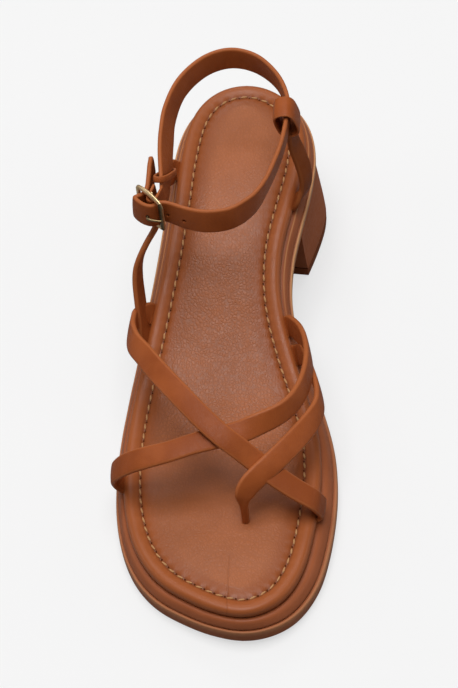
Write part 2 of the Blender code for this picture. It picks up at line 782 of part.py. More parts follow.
def frame_points():
    """The middle line of the buckle's frame: a bowed rectangle with round corners."""
    front, back = np.array(FRAME_FRONT), np.array(FRAME_BACK)
    half_long = np.linalg.norm(front - back) / 2
    half_high = FRAME_SPAN / 2
    middle = (front + back) / 2
    ahead = unit(front - back)
    inward = np.array([-ahead[1], ahead[0]])
    corner = FRAME_CORNER
    flat = []
    for sign_long, sign_high, first in ((1, 1, 0), (-1, 1, 90), (-1, -1, 180), (1, -1, 270)):
        for degrees in (0, 30, 60, 90):
            angle = math.radians(first + degrees)
            far = sign_long * (half_long - corner) + corner * math.cos(angle)
            flat.append((far, sign_high * (half_high - corner) + corner * math.sin(angle)))
        if sign_high == sign_long:
            step = sign_high * (half_long - corner)
            flat += [(share * step, sign_high * half_high) for share in (0.5, 0.0, -0.5)]
    points = []
    for far, high in flat:
        bow = 1 - (far / half_long) ** 2
        place_flat = middle + ahead * far + inward * FRAME_BOW * bow
        points.append((*place_flat, FRAME_HEIGHT + high + math.copysign(FRAME_ARCH, high) * bow))
    return points


def frame_flatness(points):
    """How much wider than thick the buckle's frame is: its front bar is the widest."""
    front = np.array(FRAME_FRONT)
    near = [np.linalg.norm(np.array(point[:2]) - front) < 0.5 for point in points]
    return np.where(near, FRONT_FLATNESS, FRAME_FLATNESS)


def build_buckle():
    points = frame_points()
    body = wire(points, FRAME_WIRE, True, frame_flatness(points))
    frame = new_object("buckle_frame", *body, BUCKLE_METAL)
    reach = FRAME_SPAN / 2 + FRAME_ARCH
    ends = [(*bar_place(), FRAME_HEIGHT + side * reach) for side in (-1, 1)]
    bar = new_object("buckle_bar", *wire(ends, BAR_WIRE, False), BUCKLE_METAL)
    combine(frame, "UNION", [bar])


def build_prong():
    """The tongue: from the bar out through the strap's hole and over it to the front."""
    new_object("buckle_prong", *wire(catmull(PRONG_ROUTE, 2), PRONG_WIDTH / 2, False), BUCKLE_METAL)


def build_upper():
    """The three forefoot straps and the lateral inverted V, joined where they cross."""
    long_rows = [*tuck(1, 53.4, -0.4), *LONG_STRAP, *tuck(-1, 139.8, 3.0)[::-1]]
    cross_rows = [*tuck(-1, 66.4, 0.4), *CROSS_STRAP, *tuck(1, 134.6, 4.0)[::-1]]
    toe_rows = [*tuck(1, 123.4, 4.5), *TOE_STRAP]
    front_rows = [*tuck(-1, 133.0, -5.0), *SIDE_FRONT_LEG]
    back_rows = [*tuck(-1, 200.4, 4.0), *SIDE_BACK_LEG]
    upper = strap_solid("upper", long_rows)
    cross = strap_solid("cross_strap", cross_rows)
    toe = strap_solid("toe_strap", toe_rows)
    front = strap_solid("side_front_leg", front_rows)
    back = strap_solid("side_back_leg", back_rows)
    loop = loop_solid(
        "side_loop", np.array([-25.2, 167.6, 86.7]), (0.0, 0.64, 0.77), (-1.0, 0.0, -0.25), 2.6, 19.8, 4.0
    )
    combine(upper, "UNION", [cross, toe, front, back, loop])
    return [
        pocket("long_strap_medial_pocket", long_rows),
        pocket("long_strap_lateral_pocket", long_rows, True),
        pocket("cross_strap_lateral_pocket", cross_rows),
        pocket("cross_strap_medial_pocket", cross_rows, True),
        pocket("toe_strap_medial_pocket", toe_rows),
        pocket("toe_post_pocket", toe_rows, True),
        pocket("side_front_pocket", front_rows),
        pocket("side_back_pocket", back_rows),
    ]


def build_heel_strap():
    """The medial upright strap with its loop."""
    rows = [*tuck(1, 187.0, 0.0), *HEEL_STRAP]
    strap = strap_solid("heel_strap", rows)
    loop = loop_solid(
        "heel_strap_loop", np.array([23.4, 194.0, 91.6]), (0.0, 1.0, 0.1), (1.0, 0.0, 0.25), 10.0, 13.2, 7.0
    )
    combine(strap, "UNION", [loop])
    return [pocket("heel_strap_pocket", rows)]


def clear_scene():
    for found in list(bpy.data.objects):
        bpy.data.objects.remove(found)


def main():
    clear_scene()
    layer("outsole", OUTSOLE_PROFILE, tread, outsole_thickness, SOLE_RUBBER)
    midsole = layer(
        "midsole", MIDSOLE_PROFILE, lambda along: outsole_top(along) + GAP,
        lambda along: MIDSOLE_THICKNESS, MIDSOLE_FINISH,
    )
    insole = build_insole()
    build_heel()
    build_top_piece()
    pockets = build_upper() + build_heel_strap()
    combine(insole, "DIFFERENCE", pockets)
    combine(midsole, "DIFFERENCE", pockets)
    build_ankle_strap()
    build_buckle()
    build_prong()


main()
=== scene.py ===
"""Right shoe of a strappy block heel sandal: leather straps, padded footbed and stacked sole.

Tables hold shoe coordinates in millimetres: along runs from the toe tip to the back of the
heel, across from the lateral side (negative) to the medial side, height from the floor.
"""

import math
from functools import partial

import bmesh
import bpy
import numpy as np
from mathutils import Matrix, Vector


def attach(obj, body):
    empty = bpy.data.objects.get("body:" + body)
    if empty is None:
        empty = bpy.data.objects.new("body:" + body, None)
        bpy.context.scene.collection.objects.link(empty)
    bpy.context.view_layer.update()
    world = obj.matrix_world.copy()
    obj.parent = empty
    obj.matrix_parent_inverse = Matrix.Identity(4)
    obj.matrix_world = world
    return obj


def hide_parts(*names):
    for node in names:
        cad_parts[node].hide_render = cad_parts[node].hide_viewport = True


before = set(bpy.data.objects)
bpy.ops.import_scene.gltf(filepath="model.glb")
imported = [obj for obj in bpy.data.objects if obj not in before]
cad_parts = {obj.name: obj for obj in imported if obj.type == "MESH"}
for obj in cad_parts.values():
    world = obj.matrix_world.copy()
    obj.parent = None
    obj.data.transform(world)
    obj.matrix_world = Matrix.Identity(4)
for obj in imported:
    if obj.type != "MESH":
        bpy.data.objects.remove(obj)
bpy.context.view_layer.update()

MM = 0.001
CENTRE_ALONG = 124.91
CENTRE_ACROSS = -1.08
GAP = 0.3

EDGE_STEPS = 48
OUTWARD_SMOOTHING = 30
STATIONS = 460
STATION_BUNCHING = 0.6
MIDSOLE_THICKNESS = 4.6
# Painted highlight on the platform layers' outer top edges.
LIP_REACH = 0.9
LIP_FADE = 6
# Painted highlight line on the layers' upper faces towards the heel.
CREST_FROM, CREST_TO = 0.2, 0.35
CHANNEL_INSET = 6.8
CHANNEL_LEVEL = 3.7
STITCH_PITCH = 4.5
STITCH_LENGTH = 3.0
STITCH_THICKNESS = 0.85
STITCH_SLANT = 9.0
STITCH_LIFT = 0.1
# Size, place and sink of the dark blob painted as shade in each needle hole.
NEEDLE_HOLE = (0.9, 0.8, 0.5)
NEEDLE_HOLE_PLACE = 0.74
NEEDLE_HOLE_SINK = 0.3

# The footbed's edge, once round from the toe tip by the medial side, and the sole's rim
# outside it.
EDGE = (
    # along, across, rim
    (4.2, 9.0, 3.8), (7.4, 18.7, 4.6), (14.7, 26.4, 5.4), (26.3, 31.9, 6.2), (40.0, 35.0, 6.6),
    (57.0, 37.1, 6.6), (73.0, 37.7, 6.2), (89.0, 36.2, 5.8), (107.0, 31.4, 5.6),
    (124.0, 25.6, 5.2), (139.0, 21.2, 4.6), (152.0, 19.4, 4.5), (166.0, 20.2, 4.5),
    (182.0, 23.8, 4.3), (198.0, 27.4, 4.0), (213.0, 28.8, 4.0), (226.0, 26.8, 4.0),
    (236.0, 21.4, 4.0), (243.0, 12.4, 4.0), (245.4, 2.0, 4.0), (242.6, -8.4, 4.0),
    (235.0, -16.6, 4.2), (223.0, -21.6, 4.4), (205.0, -24.4, 4.4), (185.0, -26.2, 4.4),
    (165.0, -28.8, 4.4), (146.0, -32.4, 4.2), (128.0, -36.2, 4.0), (109.0, -39.8, 3.9),
    (90.0, -41.9, 3.9), (72.0, -42.2, 3.9), (55.0, -40.8, 4.0), (40.0, -37.2, 4.2),
    (28.0, -31.4, 4.4), (18.6, -23.4, 4.3), (11.6, -13.0, 4.0), (6.4, -2.0, 3.8),
)
TREAD_LINE = (
    # along, height
    (0.0, 3.0), (10.0, 1.2), (26.0, 0.0), (86.0, 0.0), (102.0, 1.4), (118.0, 5.8),
    (133.0, 12.4), (149.0, 20.8), (165.0, 28.2), (181.0, 33.8), (205.0, 38.2), (230.0, 40.6),
    (250.0, 42.0),
)
OUTSOLE_THICKNESS = (
    # along, thickness
    (0.0, 6.8), (90.0, 7.0), (120.0, 6.2), (150.0, 5.2), (181.0, 4.7), (250.0, 4.7),
)
# Side profiles from the underside up. reach is a share of the rim, level a share of the
# layer's thickness.
OUTSOLE_PROFILE = (
    # reach, level
    (0.72, 0.0), (0.88, 0.015), (0.94, 0.06), (0.97, 0.14), (0.99, 0.3), (1.0, 0.55),
    (1.0, 0.78), (0.99, 0.86), (0.965, 0.93), (0.925, 0.975), (0.86, 0.995), (0.78, 1.0),
    (0.55, 0.985), (0.3, 0.98),
)
MIDSOLE_PROFILE = (
    # reach, level
    (0.45, 0.0), (0.65, 0.01), (0.705, 0.05), (0.715, 0.12), (0.695, 0.22),
    (0.64, 0.36), (0.57, 0.52), (0.49, 0.68), (0.4, 0.82), (0.29, 0.93),
    (0.15, 0.985), (0.0, 1.0),
)
# The padded footbed's height above its base, by distance in from its edge.
INSOLE_PROFILE = (
    # inset, level in mm
    (1.8, 0.0), (0.7, 0.2), (0.22, 0.75), (0.0, 1.6), (0.02, 2.6), (0.25, 3.45),
    (0.7, 4.2), (1.35, 4.76), (2.15, 5.04), (3.05, 5.1), (4.05, 4.92), (5.0, 4.58),
    (5.75, 4.22), (6.3, 3.88), (6.8, 3.7), (7.3, 3.9), (7.9, 4.2), (8.8, 4.46),
    (10.0, 4.66), (11.5, 4.78),
)
CROWN_RISE = 0.6
CROWN_COLUMNS = 34
CROWN_FULL_WIDTH = 45.0
PUCKER_DEPTH = 0.2
PUCKER_SPREAD = 1.5
PUCKER_FLOOR = 3.0
CREASE_ACROSS = 3.9

HEEL_SECTIONS = (
    # drop, breast, flare, back
    (0.0, 178.6, -0.8, 248.4), (0.12, 179.0, -0.4, 248.4), (0.35, 180.0, 0.6, 248.3),
    (0.6, 181.4, 1.8, 247.8), (0.82, 182.8, 2.8, 247.2), (1.0, 184.0, 3.4, 246.6),
)
HEEL_DROPS = (
    0.0, 0.012, 0.03, 0.12, 0.22, 0.35, 0.48, 0.6, 0.72, 0.82, 0.9, 0.965, 0.988, 1.0,
)
TOP_PIECE_ROWS = (
    # height, inset
    (0.0, 0.9), (0.15, 0.45), (0.5, 0.15), (1.0, 0.1), (4.1, 0.1), (4.45, 0.25), (4.6, 0.6),
)
HEEL_STATIONS = 60
BREAST_STEPS = 16
BREAST_HOLLOW = 2.2
BREAST_FLARE_LENGTH = 34.0
TOP_PIECE_THICKNESS = 4.6
HEEL_EDGE = 0.7
HEEL_EDGE_SHARE = 0.03

STRAP_WIDTH = 9.2
STRAP_THICKNESS = 2.7
STRAP_STEPS = 8
SECTION_CROWN = 0.07
ROUNDED_THICKNESS, ROUNDED_WIDTH = 0.48, 0.3
TAPER_SWELL = 0.55
ANKLE_WIDTH = 11.4
ANKLE_THICKNESS = 2.2
LOOP_WALL = 1.2
LOOP_SIDES = 56

# Strap routes by the middle of the strap. lean is how far its outer face turns down from
# facing straight up, turn is the compass direction it faces (0 is medial, -90 is forward)
# and taper is the width there as a share of the full width, left out where it is 1.
LONG_STRAP = (
    # across, along, height, lean, turn, taper
    (37.8, 52.4, 20.6, 76, -11), (35.2, 51.8, 25.8, 54, -18), (28.2, 53.8, 30.2, 38, -30),
    (21.4, 56.6, 34.2, 36, -40), (13.8, 60.2, 38.8, 34, -45), (6.9, 63.2, 44.2, 28, -60),
    (0.6, 66.5, 47.9, 20, -80), (-7.4, 73.4, 50.1, 13, -115), (-16.8, 83.9, 50.8, 17, -143),
    (-26.9, 96.6, 49.8, 26, -158), (-33.2, 106.2, 47.8, 40, -166),
    (-37.9, 113.9, 45.0, 54, -172), (-40.1, 122.0, 41.6, 70, -176),
    (-40.3, 129.2, 38.2, 82, 178), (-39.2, 135.0, 34.6, 96, 176),
)
CROSS_STRAP = (
    (-44.8, 65.4, 21.4, 88, -178), (-44.0, 63.2, 27.6, 72, -174), (-40.6, 61.9, 33.4, 52, -160),
    (-36.0, 61.4, 37.6, 38, -144), (-30.4, 61.4, 40.4, 28, -138), (-20.4, 62.6, 43.2, 15, -142),
    (-12.2, 65.0, 44.4, 12, -130), (-4.7, 67.1, 45.0, 16, -105), (6.0, 70.1, 45.3, 24, -80),
    (13.7, 73.4, 46.2, 44, -62), (22.4, 78.5, 46.4, 62, -42), (28.0, 85.4, 45.6, 67, -25),
    (31.4, 95.4, 43.6, 71, -10), (32.5, 107.0, 41.0, 76, -3), (31.2, 117.4, 38.2, 84, 0),
    (28.2, 126.4, 34.6, 94, 6),
)
TOE_STRAP = (
    (29.3, 118.8, 31.0, 97, 7), (32.0, 112.0, 32.6, 90, 2), (35.2, 102.6, 33.8, 83, -5),
    (36.9, 94.6, 34.8, 76, -10), (36.5, 87.6, 35.9, 66, -16), (33.2, 79.2, 37.5, 48, -20),
    (26.7, 69.0, 38.6, 33, -30), (19.2, 60.1, 38.2, 36, -42), (14.1, 55.2, 37.0, 44, -52),
    (10.5, 51.8, 35.0, 54, -62), (8.8, 49.6, 32.4, 66, -74, 0.88),
    (8.3, 48.7, 29.6, 76, -84, 0.6), (8.3, 48.2, 26.6, 84, -88, 0.4),
    (8.4, 47.5, 21.0, 90, -90, 0.35), (8.4, 46.9, 14.8, 90, -90, 0.35),
)
SIDE_FRONT_LEG = (
    (-37.4, 136.6, 33.0, 92, 168, 1.13), (-37.9, 140.0, 40.0, 90, 167, 1.13),
    (-38.4, 144.4, 47.6, 86, 166, 1.13), (-38.0, 147.4, 53.2, 80, 165, 1.13),
    (-36.4, 149.6, 58.0, 75, 164, 1.13), (-33.6, 152.2, 63.0, 72, 163, 1.11),
    (-30.2, 155.6, 67.6, 74, 165, 1.04), (-27.8, 159.6, 71.4, 80, 172, 0.95),
    (-26.2, 164.2, 74.4, 88, 180, 0.84), (-25.5, 169.0, 76.8, 92, 180, 0.72),
    (-25.3, 173.0, 78.6, 92, 180, 0.63),
)
SIDE_BACK_LEG = (
    (-27.4, 197.4, 53.6, 88, 184, 1.13), (-28.6, 191.4, 60.0, 88, 184, 1.13),
    (-28.7, 185.0, 66.0, 88, 182, 1.13), (-27.6, 180.0, 71.0, 88, 180, 1.07),
    (-26.2, 176.6, 75.4, 90, 180, 0.95), (-25.5, 175.2, 78.2, 92, 180, 0.84),
    (-25.3, 174.8, 79.6, 92, 180, 0.79),
)
HEEL_STRAP = (
    (29.4, 189.0, 53.6, 84, -22), (29.6, 190.6, 60.6, 80, -24), (27.8, 192.4, 68.6, 77, -22),
    (25.6, 193.4, 76.6, 80, -16), (24.6, 193.8, 84.8, 88, -10),
)
TUCK = (
    # offset outward, height above the midsole, share of the slide along the edge, lean
    (-4.6, -0.7, 1.0, 176), (-0.6, 1.5, 0.45, 140), (1.75, 4.6, 0.0, 104),
)
TUCK_REACH = 2.0
# From the fold at the buckle, back round the heel, through the medial loop, across the
# front, through the buckle and back to the tail.
ANKLE_ROUTE = (
    # across, along, height, lean
    (-25.5, 157.6, 85.2, 92), (-25.2, 162.2, 86.0, 98), (-25.2, 168.0, 87.2, 106),
    (-25.4, 176.0, 89.0, 112), (-25.4, 184.6, 90.6, 112), (-24.6, 196.0, 92.2, 106),
    (-20.4, 209.6, 93.4, 98), (-11.4, 220.6, 94.0, 94), (-0.6, 224.8, 94.2, 92),
    (10.4, 221.6, 93.8, 90), (19.4, 212.0, 93.2, 86), (23.4, 200.6, 92.2, 92),
    (23.4, 190.4, 91.0, 92), (21.6, 179.0, 89.6, 95), (18.8, 169.4, 88.4, 96),
    (15.6, 161.0, 87.2, 96), (12.0, 154.2, 86.3, 90), (7.8, 149.8, 85.7, 84),
    (3.0, 146.6, 85.3, 82), (-3.0, 145.3, 84.8, 80), (-9.2, 145.5, 84.5, 80),
    (-15.6, 147.3, 84.3, 81), (-20.4, 149.4, 84.3, 83), (-23.8, 150.5, 84.6, 85),
    (-26.3, 150.1, 84.8, 85), (-28.9, 148.1, 85.0, 82), (-32.3, 148.9, 85.0, 82),
    (-35.4, 151.4, 85.0, 83), (-36.4, 153.4, 85.0, 86), (-34.7, 154.3, 85.0, 90),
    (-32.4, 155.8, 85.0, 90), (-31.3, 158.8, 85.2, 92), (-31.0, 163.0, 86.0, 92),
    (-30.8, 167.6, 87.2, 92), (-30.6, 171.6, 88.2, 92), (-31.0, 174.2, 88.8, 92),
)
FOLD_END = (-28.6, 159.6, 85.4)
FOLD_THICKNESS = 1.4
FOLD_RADIUS = 1.65
FOLD_EASE = 14
TAIL = (
    # rows from the end, share of the width
    (12, 1.0), (7, 0.93), (4, 0.8), (2, 0.6), (1, 0.42),
)

FRAME_FRONT = (-25.3, 147.2)
FRAME_BACK = (-34.9, 157.0)
FRAME_HEIGHT = 85.0
FRAME_SPAN = 15.4
FRAME_WIRE = 0.75
FRAME_FLATNESS = 1.5
FRONT_FLATNESS = 2.0
FRAME_CORNER = 1.2
ARM_MIDDLE = 1.3
ARM_ENDS = 0.75
FRAME_BOW = 0.25
FRAME_ARCH = 0.3
BAR_BOW = 1.1
BAR_WIRE = 0.65
PRONG_WIDTH = 1.1
# How far the prong is darkened with a painted dark reflection.
PRONG_DARK_REFLECTION = 0.75
PRONG_ROUTE = (
    # across, along, height
    (-29.6, 151.9, 85.0), (-30.4, 149.6, 85.0), (-31.0, 147.4, 85.0), (-30.8, 146.2, 85.0),
    (-29.4, 145.6, 85.0), (-27.2, 145.1, 85.0), (-24.9, 144.9, 85.0),
)
PRONG_CLEARANCE = 0.25
CUTTER_REACH = 3.0
HOLE_RADIUS = 0.8
HOLES = (
    # across, along, height, direction it is punched in
    (-22.6, 150.4, 83.6, 67), (-15.8, 148.1, 83.3, 70),
)


# ---- curves and the sole's edge

def hermite(rows):
    """A smooth curve through a table of (place, value) that never overshoots a row."""
    place = np.array([row[0] for row in rows], float)
    value = np.array([row[1] for row in rows], float)
    slope = np.diff(value) / np.diff(place)
    tangent = np.zeros(len(place))
    same_way = slope[:-1] * slope[1:] > 0
    total = slope[:-1] + slope[1:]
    tangent[1:-1][same_way] = 2 * slope[:-1][same_way] * slope[1:][same_way] / total[same_way]
    tangent[0], tangent[-1] = slope[0], slope[-1]

    def at(x):
        x = np.clip(x, place[0], place[-1])
        i = np.clip(np.searchsorted(place, x, side="right") - 1, 0, len(place) - 2)
        span = place[i + 1] - place[i]
        t = (x - place[i]) / span
        rise = value[i + 1] - value[i]
        start, end = tangent[i] * span, tangent[i + 1] * span
        square, cube = 3 * rise - 2 * start - end, start + end - 2 * rise
        return value[i] + t * start + t**2 * square + t**3 * cube

    return at


def catmull(points, steps, closed=False):
    """Points on a Catmull-Rom curve through a list of points, steps to each stretch."""
    points = np.asarray(points, float)
    if closed:
        padded = np.concatenate([points[-1:], points, points[:2]])
    else:
        before, after = 2 * points[:1] - points[1:2], 2 * points[-1:] - points[-2:-1]
        padded = np.concatenate([before, points, after])
    out = []
    for i in range(1, len(padded) - 2):
        a, b, c, d = padded[i - 1:i + 3]
        cube = 3 * (b - c) + d - a
        for t in np.arange(steps) / steps:
            out.append(b + 0.5 * t * (c - a + t * (2 * a - 5 * b + 4 * c - d + t * cube)))
    if not closed:
        out.append(points[-1])
    return np.array(out)


def unit(vector):
    return vector / np.linalg.norm(vector)


def directions(points, closed=False):
    """The direction of travel at each point of a line."""
    ahead, behind = np.roll(points, -1, axis=0), np.roll(points, 1, axis=0)
    if not closed:
        ahead[-1], behind[0] = points[-1], points[0]
    return [unit(step) for step in ahead - behind]


tread = hermite(TREAD_LINE)
outsole_thickness = hermite(OUTSOLE_THICKNESS)


def outsole_top(along):
    return tread(along) + outsole_thickness(along)


def midsole_top(along):
    return outsole_top(along) + GAP + MIDSOLE_THICKNESS


def insole_base(along):
    return midsole_top(along) + GAP


def rim_samples():
    """Paired samples round the footbed's edge: tip, medial side, heel, lateral side back."""
    ring = catmull(EDGE, EDGE_STEPS, closed=True)
    toe, heel = int(ring[:, 0].argmin()), int(ring[:, 0].argmax())
    ahead = np.roll(ring, -1, axis=0) - np.roll(ring, 1, axis=0)
    length = np.hypot(ahead[:, 0], ahead[:, 1])
    outward = np.stack([-ahead[:, 1] / length, ahead[:, 0] / length], axis=1)
    for _ in range(OUTWARD_SMOOTHING):
        outward = (np.roll(outward, 1, axis=0) + outward + np.roll(outward, -1, axis=0)) / 3
    outward /= np.linalg.norm(outward, axis=1)[:, None]
    ring = np.roll(np.column_stack([ring, outward]), -toe, axis=0)
    heel = (heel - toe) % len(ring)
    medial, lateral = ring[:heel + 1], np.vstack([ring[heel:], ring[:1]])[::-1]
    turn = np.linspace(0, math.pi, STATIONS + 1)
    even = (1 - np.cos(turn)) / 2
    share = STATION_BUNCHING * even + (1 - STATION_BUNCHING) * turn / math.pi
    station = ring[0, 0] + (ring[heel, 0] - ring[0, 0]) * share
    sides = []
    for side in (medial, lateral):
        columns = [np.interp(station, side[:, 0], side[:, i]) for i in range(side.shape[1])]
        sides.append(np.stack(columns, axis=1))
    return np.vstack([sides[0], sides[1][1:-1][::-1]])


RIM = rim_samples()
COUNT = len(RIM)


def two_sides(ring):
    """The medial and lateral halves of a ring of rim samples, each from tip to heel."""
    return ring[:STATIONS + 1], np.vstack([ring[:1], ring[STATIONS:][::-1]])


def outline(offset):
    """(across, along) round the sole, offset outward by a number or one number a sample."""
    return RIM[:, 1::-1] + RIM[:, 4:2:-1] * np.reshape(offset, (-1, 1))


def edge_at(side, along, offset=0.0):
    """(across, along) on the footbed's edge at a station of one side, offset outward."""
    rows = two_sides(RIM)[side < 0]
    across, out_along, out_across = (np.interp(along, rows[:, 0], rows[:, i]) for i in (1, 3, 4))
    return across + out_across * offset, along + out_along * offset


def place(points):
    return (np.asarray(points, float) - (CENTRE_ACROSS, CENTRE_ALONG, 0.0)) * MM


# ---- meshes

def new_object(name, data):
    made = bpy.data.objects.new(name, data)
    bpy.context.scene.collection.objects.link(made)
    return made


def new_piece(name, vertices, faces, finish, slot, smooth_angle=None):
    """A finished piece from points in shoe coordinates."""
    mesh = bpy.data.meshes.new(name)
    mesh.from_pydata([tuple(p) for p in place(vertices)], [], faces)
    shaped = bmesh.new()
    shaped.from_mesh(mesh)
    bmesh.ops.recalc_face_normals(shaped, faces=shaped.faces)
    shaped.to_mesh(mesh)
    shaped.free()
    mesh.shade_smooth()
    if smooth_angle:
        mesh.set_sharp_from_angle(angle=math.radians(smooth_angle))
    mesh.materials.append(finish)
    made = new_object(name, mesh)
    made["slot"] = slot
    return made


def add_attribute(made, name, values):
    layer = made.data.attributes.new(name, "FLOAT", "POINT")
    layer.data.foreach_set("value", np.asarray(values, np.float32))


def leather_piece(name, vertices, faces, edges, finish, smooth_angle=60):
    made = new_piece(name, vertices, faces, finish, "strap_leather", smooth_angle)
    add_attribute(made, "rim", edges)
    return made


def evaluated_mesh(made):
    graph = bpy.context.evaluated_depsgraph_get()
    return bpy.data.meshes.new_from_object(made.evaluated_get(graph))


def strips(first):
    """Faces that close one ring of the rim's samples, from side to side."""
    end = first + COUNT
    faces = [(first, first + 1, end - 1)]
    faces += [(first + k, first + k + 1, end - k - 1, end - k) for k in range(1, STATIONS - 1)]
    return faces + [(first + STATIONS - 1, first + STATIONS, first + STATIONS + 1)]


def ring_walls(rings, count, closed=False):
    """Faces between rings of count points; closed also joins the last ring to the first."""
    faces = []
    for j in range(rings if closed else rings - 1):
        here, there = j * count, (j + 1) % rings * count
        for k in range(count):
            beside = (k + 1) % count
            faces.append((here + k, here + beside, there + beside, there + k))
    return faces


def layer(name, profile, base, thickness, finish, slot):
    """One layer of the platform: its side profile swept round the sole."""
    rings = []
    for reach, level in profile:
        flat = outline(RIM[:, 2] * reach)
        height = base(flat[:, 1]) + level * thickness(flat[:, 1])
        rings.append(np.column_stack([flat, height]))
    faces = strips(0) + ring_walls(len(rings), COUNT) + strips((len(rings) - 1) * COUNT)
    made = new_piece(name, np.vstack(rings), faces, finish, slot)
    # Painted highlight masks: one lightens the outer top edge, the other a line on the upper face.
    lip = [level * min(1.0, reach / LIP_REACH) ** LIP_FADE for reach, level in profile]
    crest = [float(CREST_FROM < reach < CREST_TO and level > 0.5) for reach, level in profile]
    add_attribute(made, "lip", np.repeat(lip, COUNT))
    add_attribute(made, "crest", np.repeat(crest, COUNT))
    return made


def channel_line():
    """The stitched channel's line, with the distance run along it at each sample."""
    flat = outline(-CHANNEL_INSET)
    points = np.column_stack([flat, insole_base(flat[:, 1])])
    step = np.linalg.norm(np.roll(points, -1, axis=0) - points, axis=1)
    return points, np.concatenate([[0.0], np.cumsum(step)])


def build_insole(finish):
    """The padded footbed: rolled edge, puckered channel and crowned middle."""
    _, run = channel_line()
    phase = 2 * math.pi * run[:-1] / run[-1] * round(run[-1] / STITCH_PITCH)
    rings, insets = [], []
    for inset, level in INSOLE_PROFILE:
        flat = outline(-inset)
        near = 0.0
        if level > PUCKER_FLOOR:
            near = math.exp(-((inset - CHANNEL_INSET) / PUCKER_SPREAD) ** 2)
        pucker = PUCKER_DEPTH * near * np.cos(phase)
        rings.append(np.column_stack([flat, insole_base(flat[:, 1]) + level + pucker]))
        insets.append(np.full(COUNT, inset))
    first = len(rings) * COUNT
    last = first - COUNT
    columns = CROWN_COLUMNS - 1
    faces = strips(0) + ring_walls(len(rings), COUNT)
    inner = rings[-1]
    inner_inset, inner_level = INSOLE_PROFILE[-1]
    share = np.linspace(0, 1, CROWN_COLUMNS + 1)[1:-1]
    bow = 1 - (2 * share - 1) ** 2
    for k in range(1, STATIONS):
        medial, lateral = inner[k], inner[COUNT - k]
        chord = np.linalg.norm((medial - lateral)[:2])
        flat = medial[None, :2] + (lateral - medial)[None, :2] * share[:, None]
        level = inner_level + CROWN_RISE * bow * min(1.0, chord / CROWN_FULL_WIDTH)
        rings.append(np.column_stack([flat, insole_base(flat[:, 1]) + level]))
        insets.append(inner_inset + np.minimum(share, 1 - share) * chord)

    def corner(k, j):
        if j == 0:
            return last + k
        if j == CROWN_COLUMNS:
            return last + COUNT - k
        return first + (k - 1) * columns + j - 1

    for k in range(1, STATIONS - 1):
        for j in range(CROWN_COLUMNS):
            faces.append((corner(k, j), corner(k, j + 1), corner(k + 1, j + 1), corner(k + 1, j)))
    for j in range(CROWN_COLUMNS):
        faces.append((last, corner(1, j + 1), corner(1, j)))
        side = [corner(STATIONS - 1, j), corner(STATIONS - 1, j + 1)]
        faces.append((last + STATIONS, *side))
    made = new_piece("footbed", np.vstack(rings), faces, finish, "insole_leather")
    add_attribute(made, "inset", np.concatenate(insets))
    return made


# ---- heel

def heel_outline(breast, flare, back):
    """(across, along) round one level of the heel, from the breast's medial corner."""
    full = outline(RIM[:, 2])
    share = np.sin(np.linspace(0, math.pi / 2, HEEL_STATIONS))
    middle, end = full[STATIONS]
    station = breast + (end - breast) * share
    along = breast + (station - breast) * (back - breast) / (end - breast)
    grown = flare * np.clip((station - breast) / BREAST_FLARE_LENGTH, 0, 1)
    sides = []
    for sign, side in zip((1, -1), two_sides(full)):
        width = (np.interp(station, side[:, 1], side[:, 0]) - middle) * sign
        scale = 1 + grown / width.max()
        sides.append(np.stack([middle + sign * width * scale, along], axis=1))
    breast_line = []
    start, finish = sides[1][0], sides[0][0]
    for share in np.linspace(0, 1, BREAST_STEPS + 1)[1:-1]:
        across = start[0] + (finish[0] - start[0]) * share
        breast_line.append((across, breast + BREAST_HOLLOW * math.sin(math.pi * share)))
    return np.vstack([sides[0], sides[1][:-1][::-1], np.array(breast_line)])


def heel_solid(name, rings, finish, slot):
    """A solid through outlines of the heel, with both ends closed from side to side."""
    count = len(rings[0])
    last = HEEL_STATIONS - 1
    sides = 2 * last + 1
    faces = []
    for first in (0, (len(rings) - 1) * count):
        for k in range(1, last - 1):
            faces.append((first + k, first + k + 1, first + sides - k - 2, first + sides - k - 1))
        faces.append((first + last - 1, first + last, first + last + 1))
        breast = [first + sides + i for i in range(BREAST_STEPS - 1)]
        faces.append(tuple([first, first + 1, first + sides - 2, first + sides - 1] + breast))
    faces += ring_walls(len(rings), count)
    return new_piece(name, np.vstack(rings), faces, finish, slot, 35)


def build_heel(finish, top_finish):
    """The heel block under the seat, and the thin top piece that it stands on."""
    floor = TOP_PIECE_THICKNESS + GAP
    columns = [hermite([(row[0], row[i]) for row in HEEL_SECTIONS]) for i in (1, 2, 3)]
    rings = []
    for drop in HEEL_DROPS:
        breast, flare, back = (float(column(drop)) for column in columns)
        end = min(drop, 1 - drop)
        inset = HEEL_EDGE * (1 - min(1.0, end / HEEL_EDGE_SHARE)) ** 2
        flat = heel_outline(breast + inset, flare - inset, back - inset)
        seat = tread(flat[:, 1]) - GAP
        rings.append(np.column_stack([flat, seat + (floor - seat) * drop]))
    block = heel_solid("heel", rings, finish, "sole_unit")
    _, breast, flare, back = HEEL_SECTIONS[-1]
    rings = []
    for height, inset in TOP_PIECE_ROWS:
        flat = heel_outline(breast + inset, flare - inset, back - inset)
        rings.append(np.column_stack([flat, np.full(len(flat), height)]))
    return block, heel_solid("heel_tip", rings, top_finish, "top_piece")


# ---- straps

def facing(lean, turn):
    """The direction a strap faces, from its lean and compass turn in degrees."""
    lean, turn = math.radians(lean), math.radians(turn)
    return math.sin(lean) * math.cos(turn), math.sin(lean) * math.sin(turn), math.cos(lean)


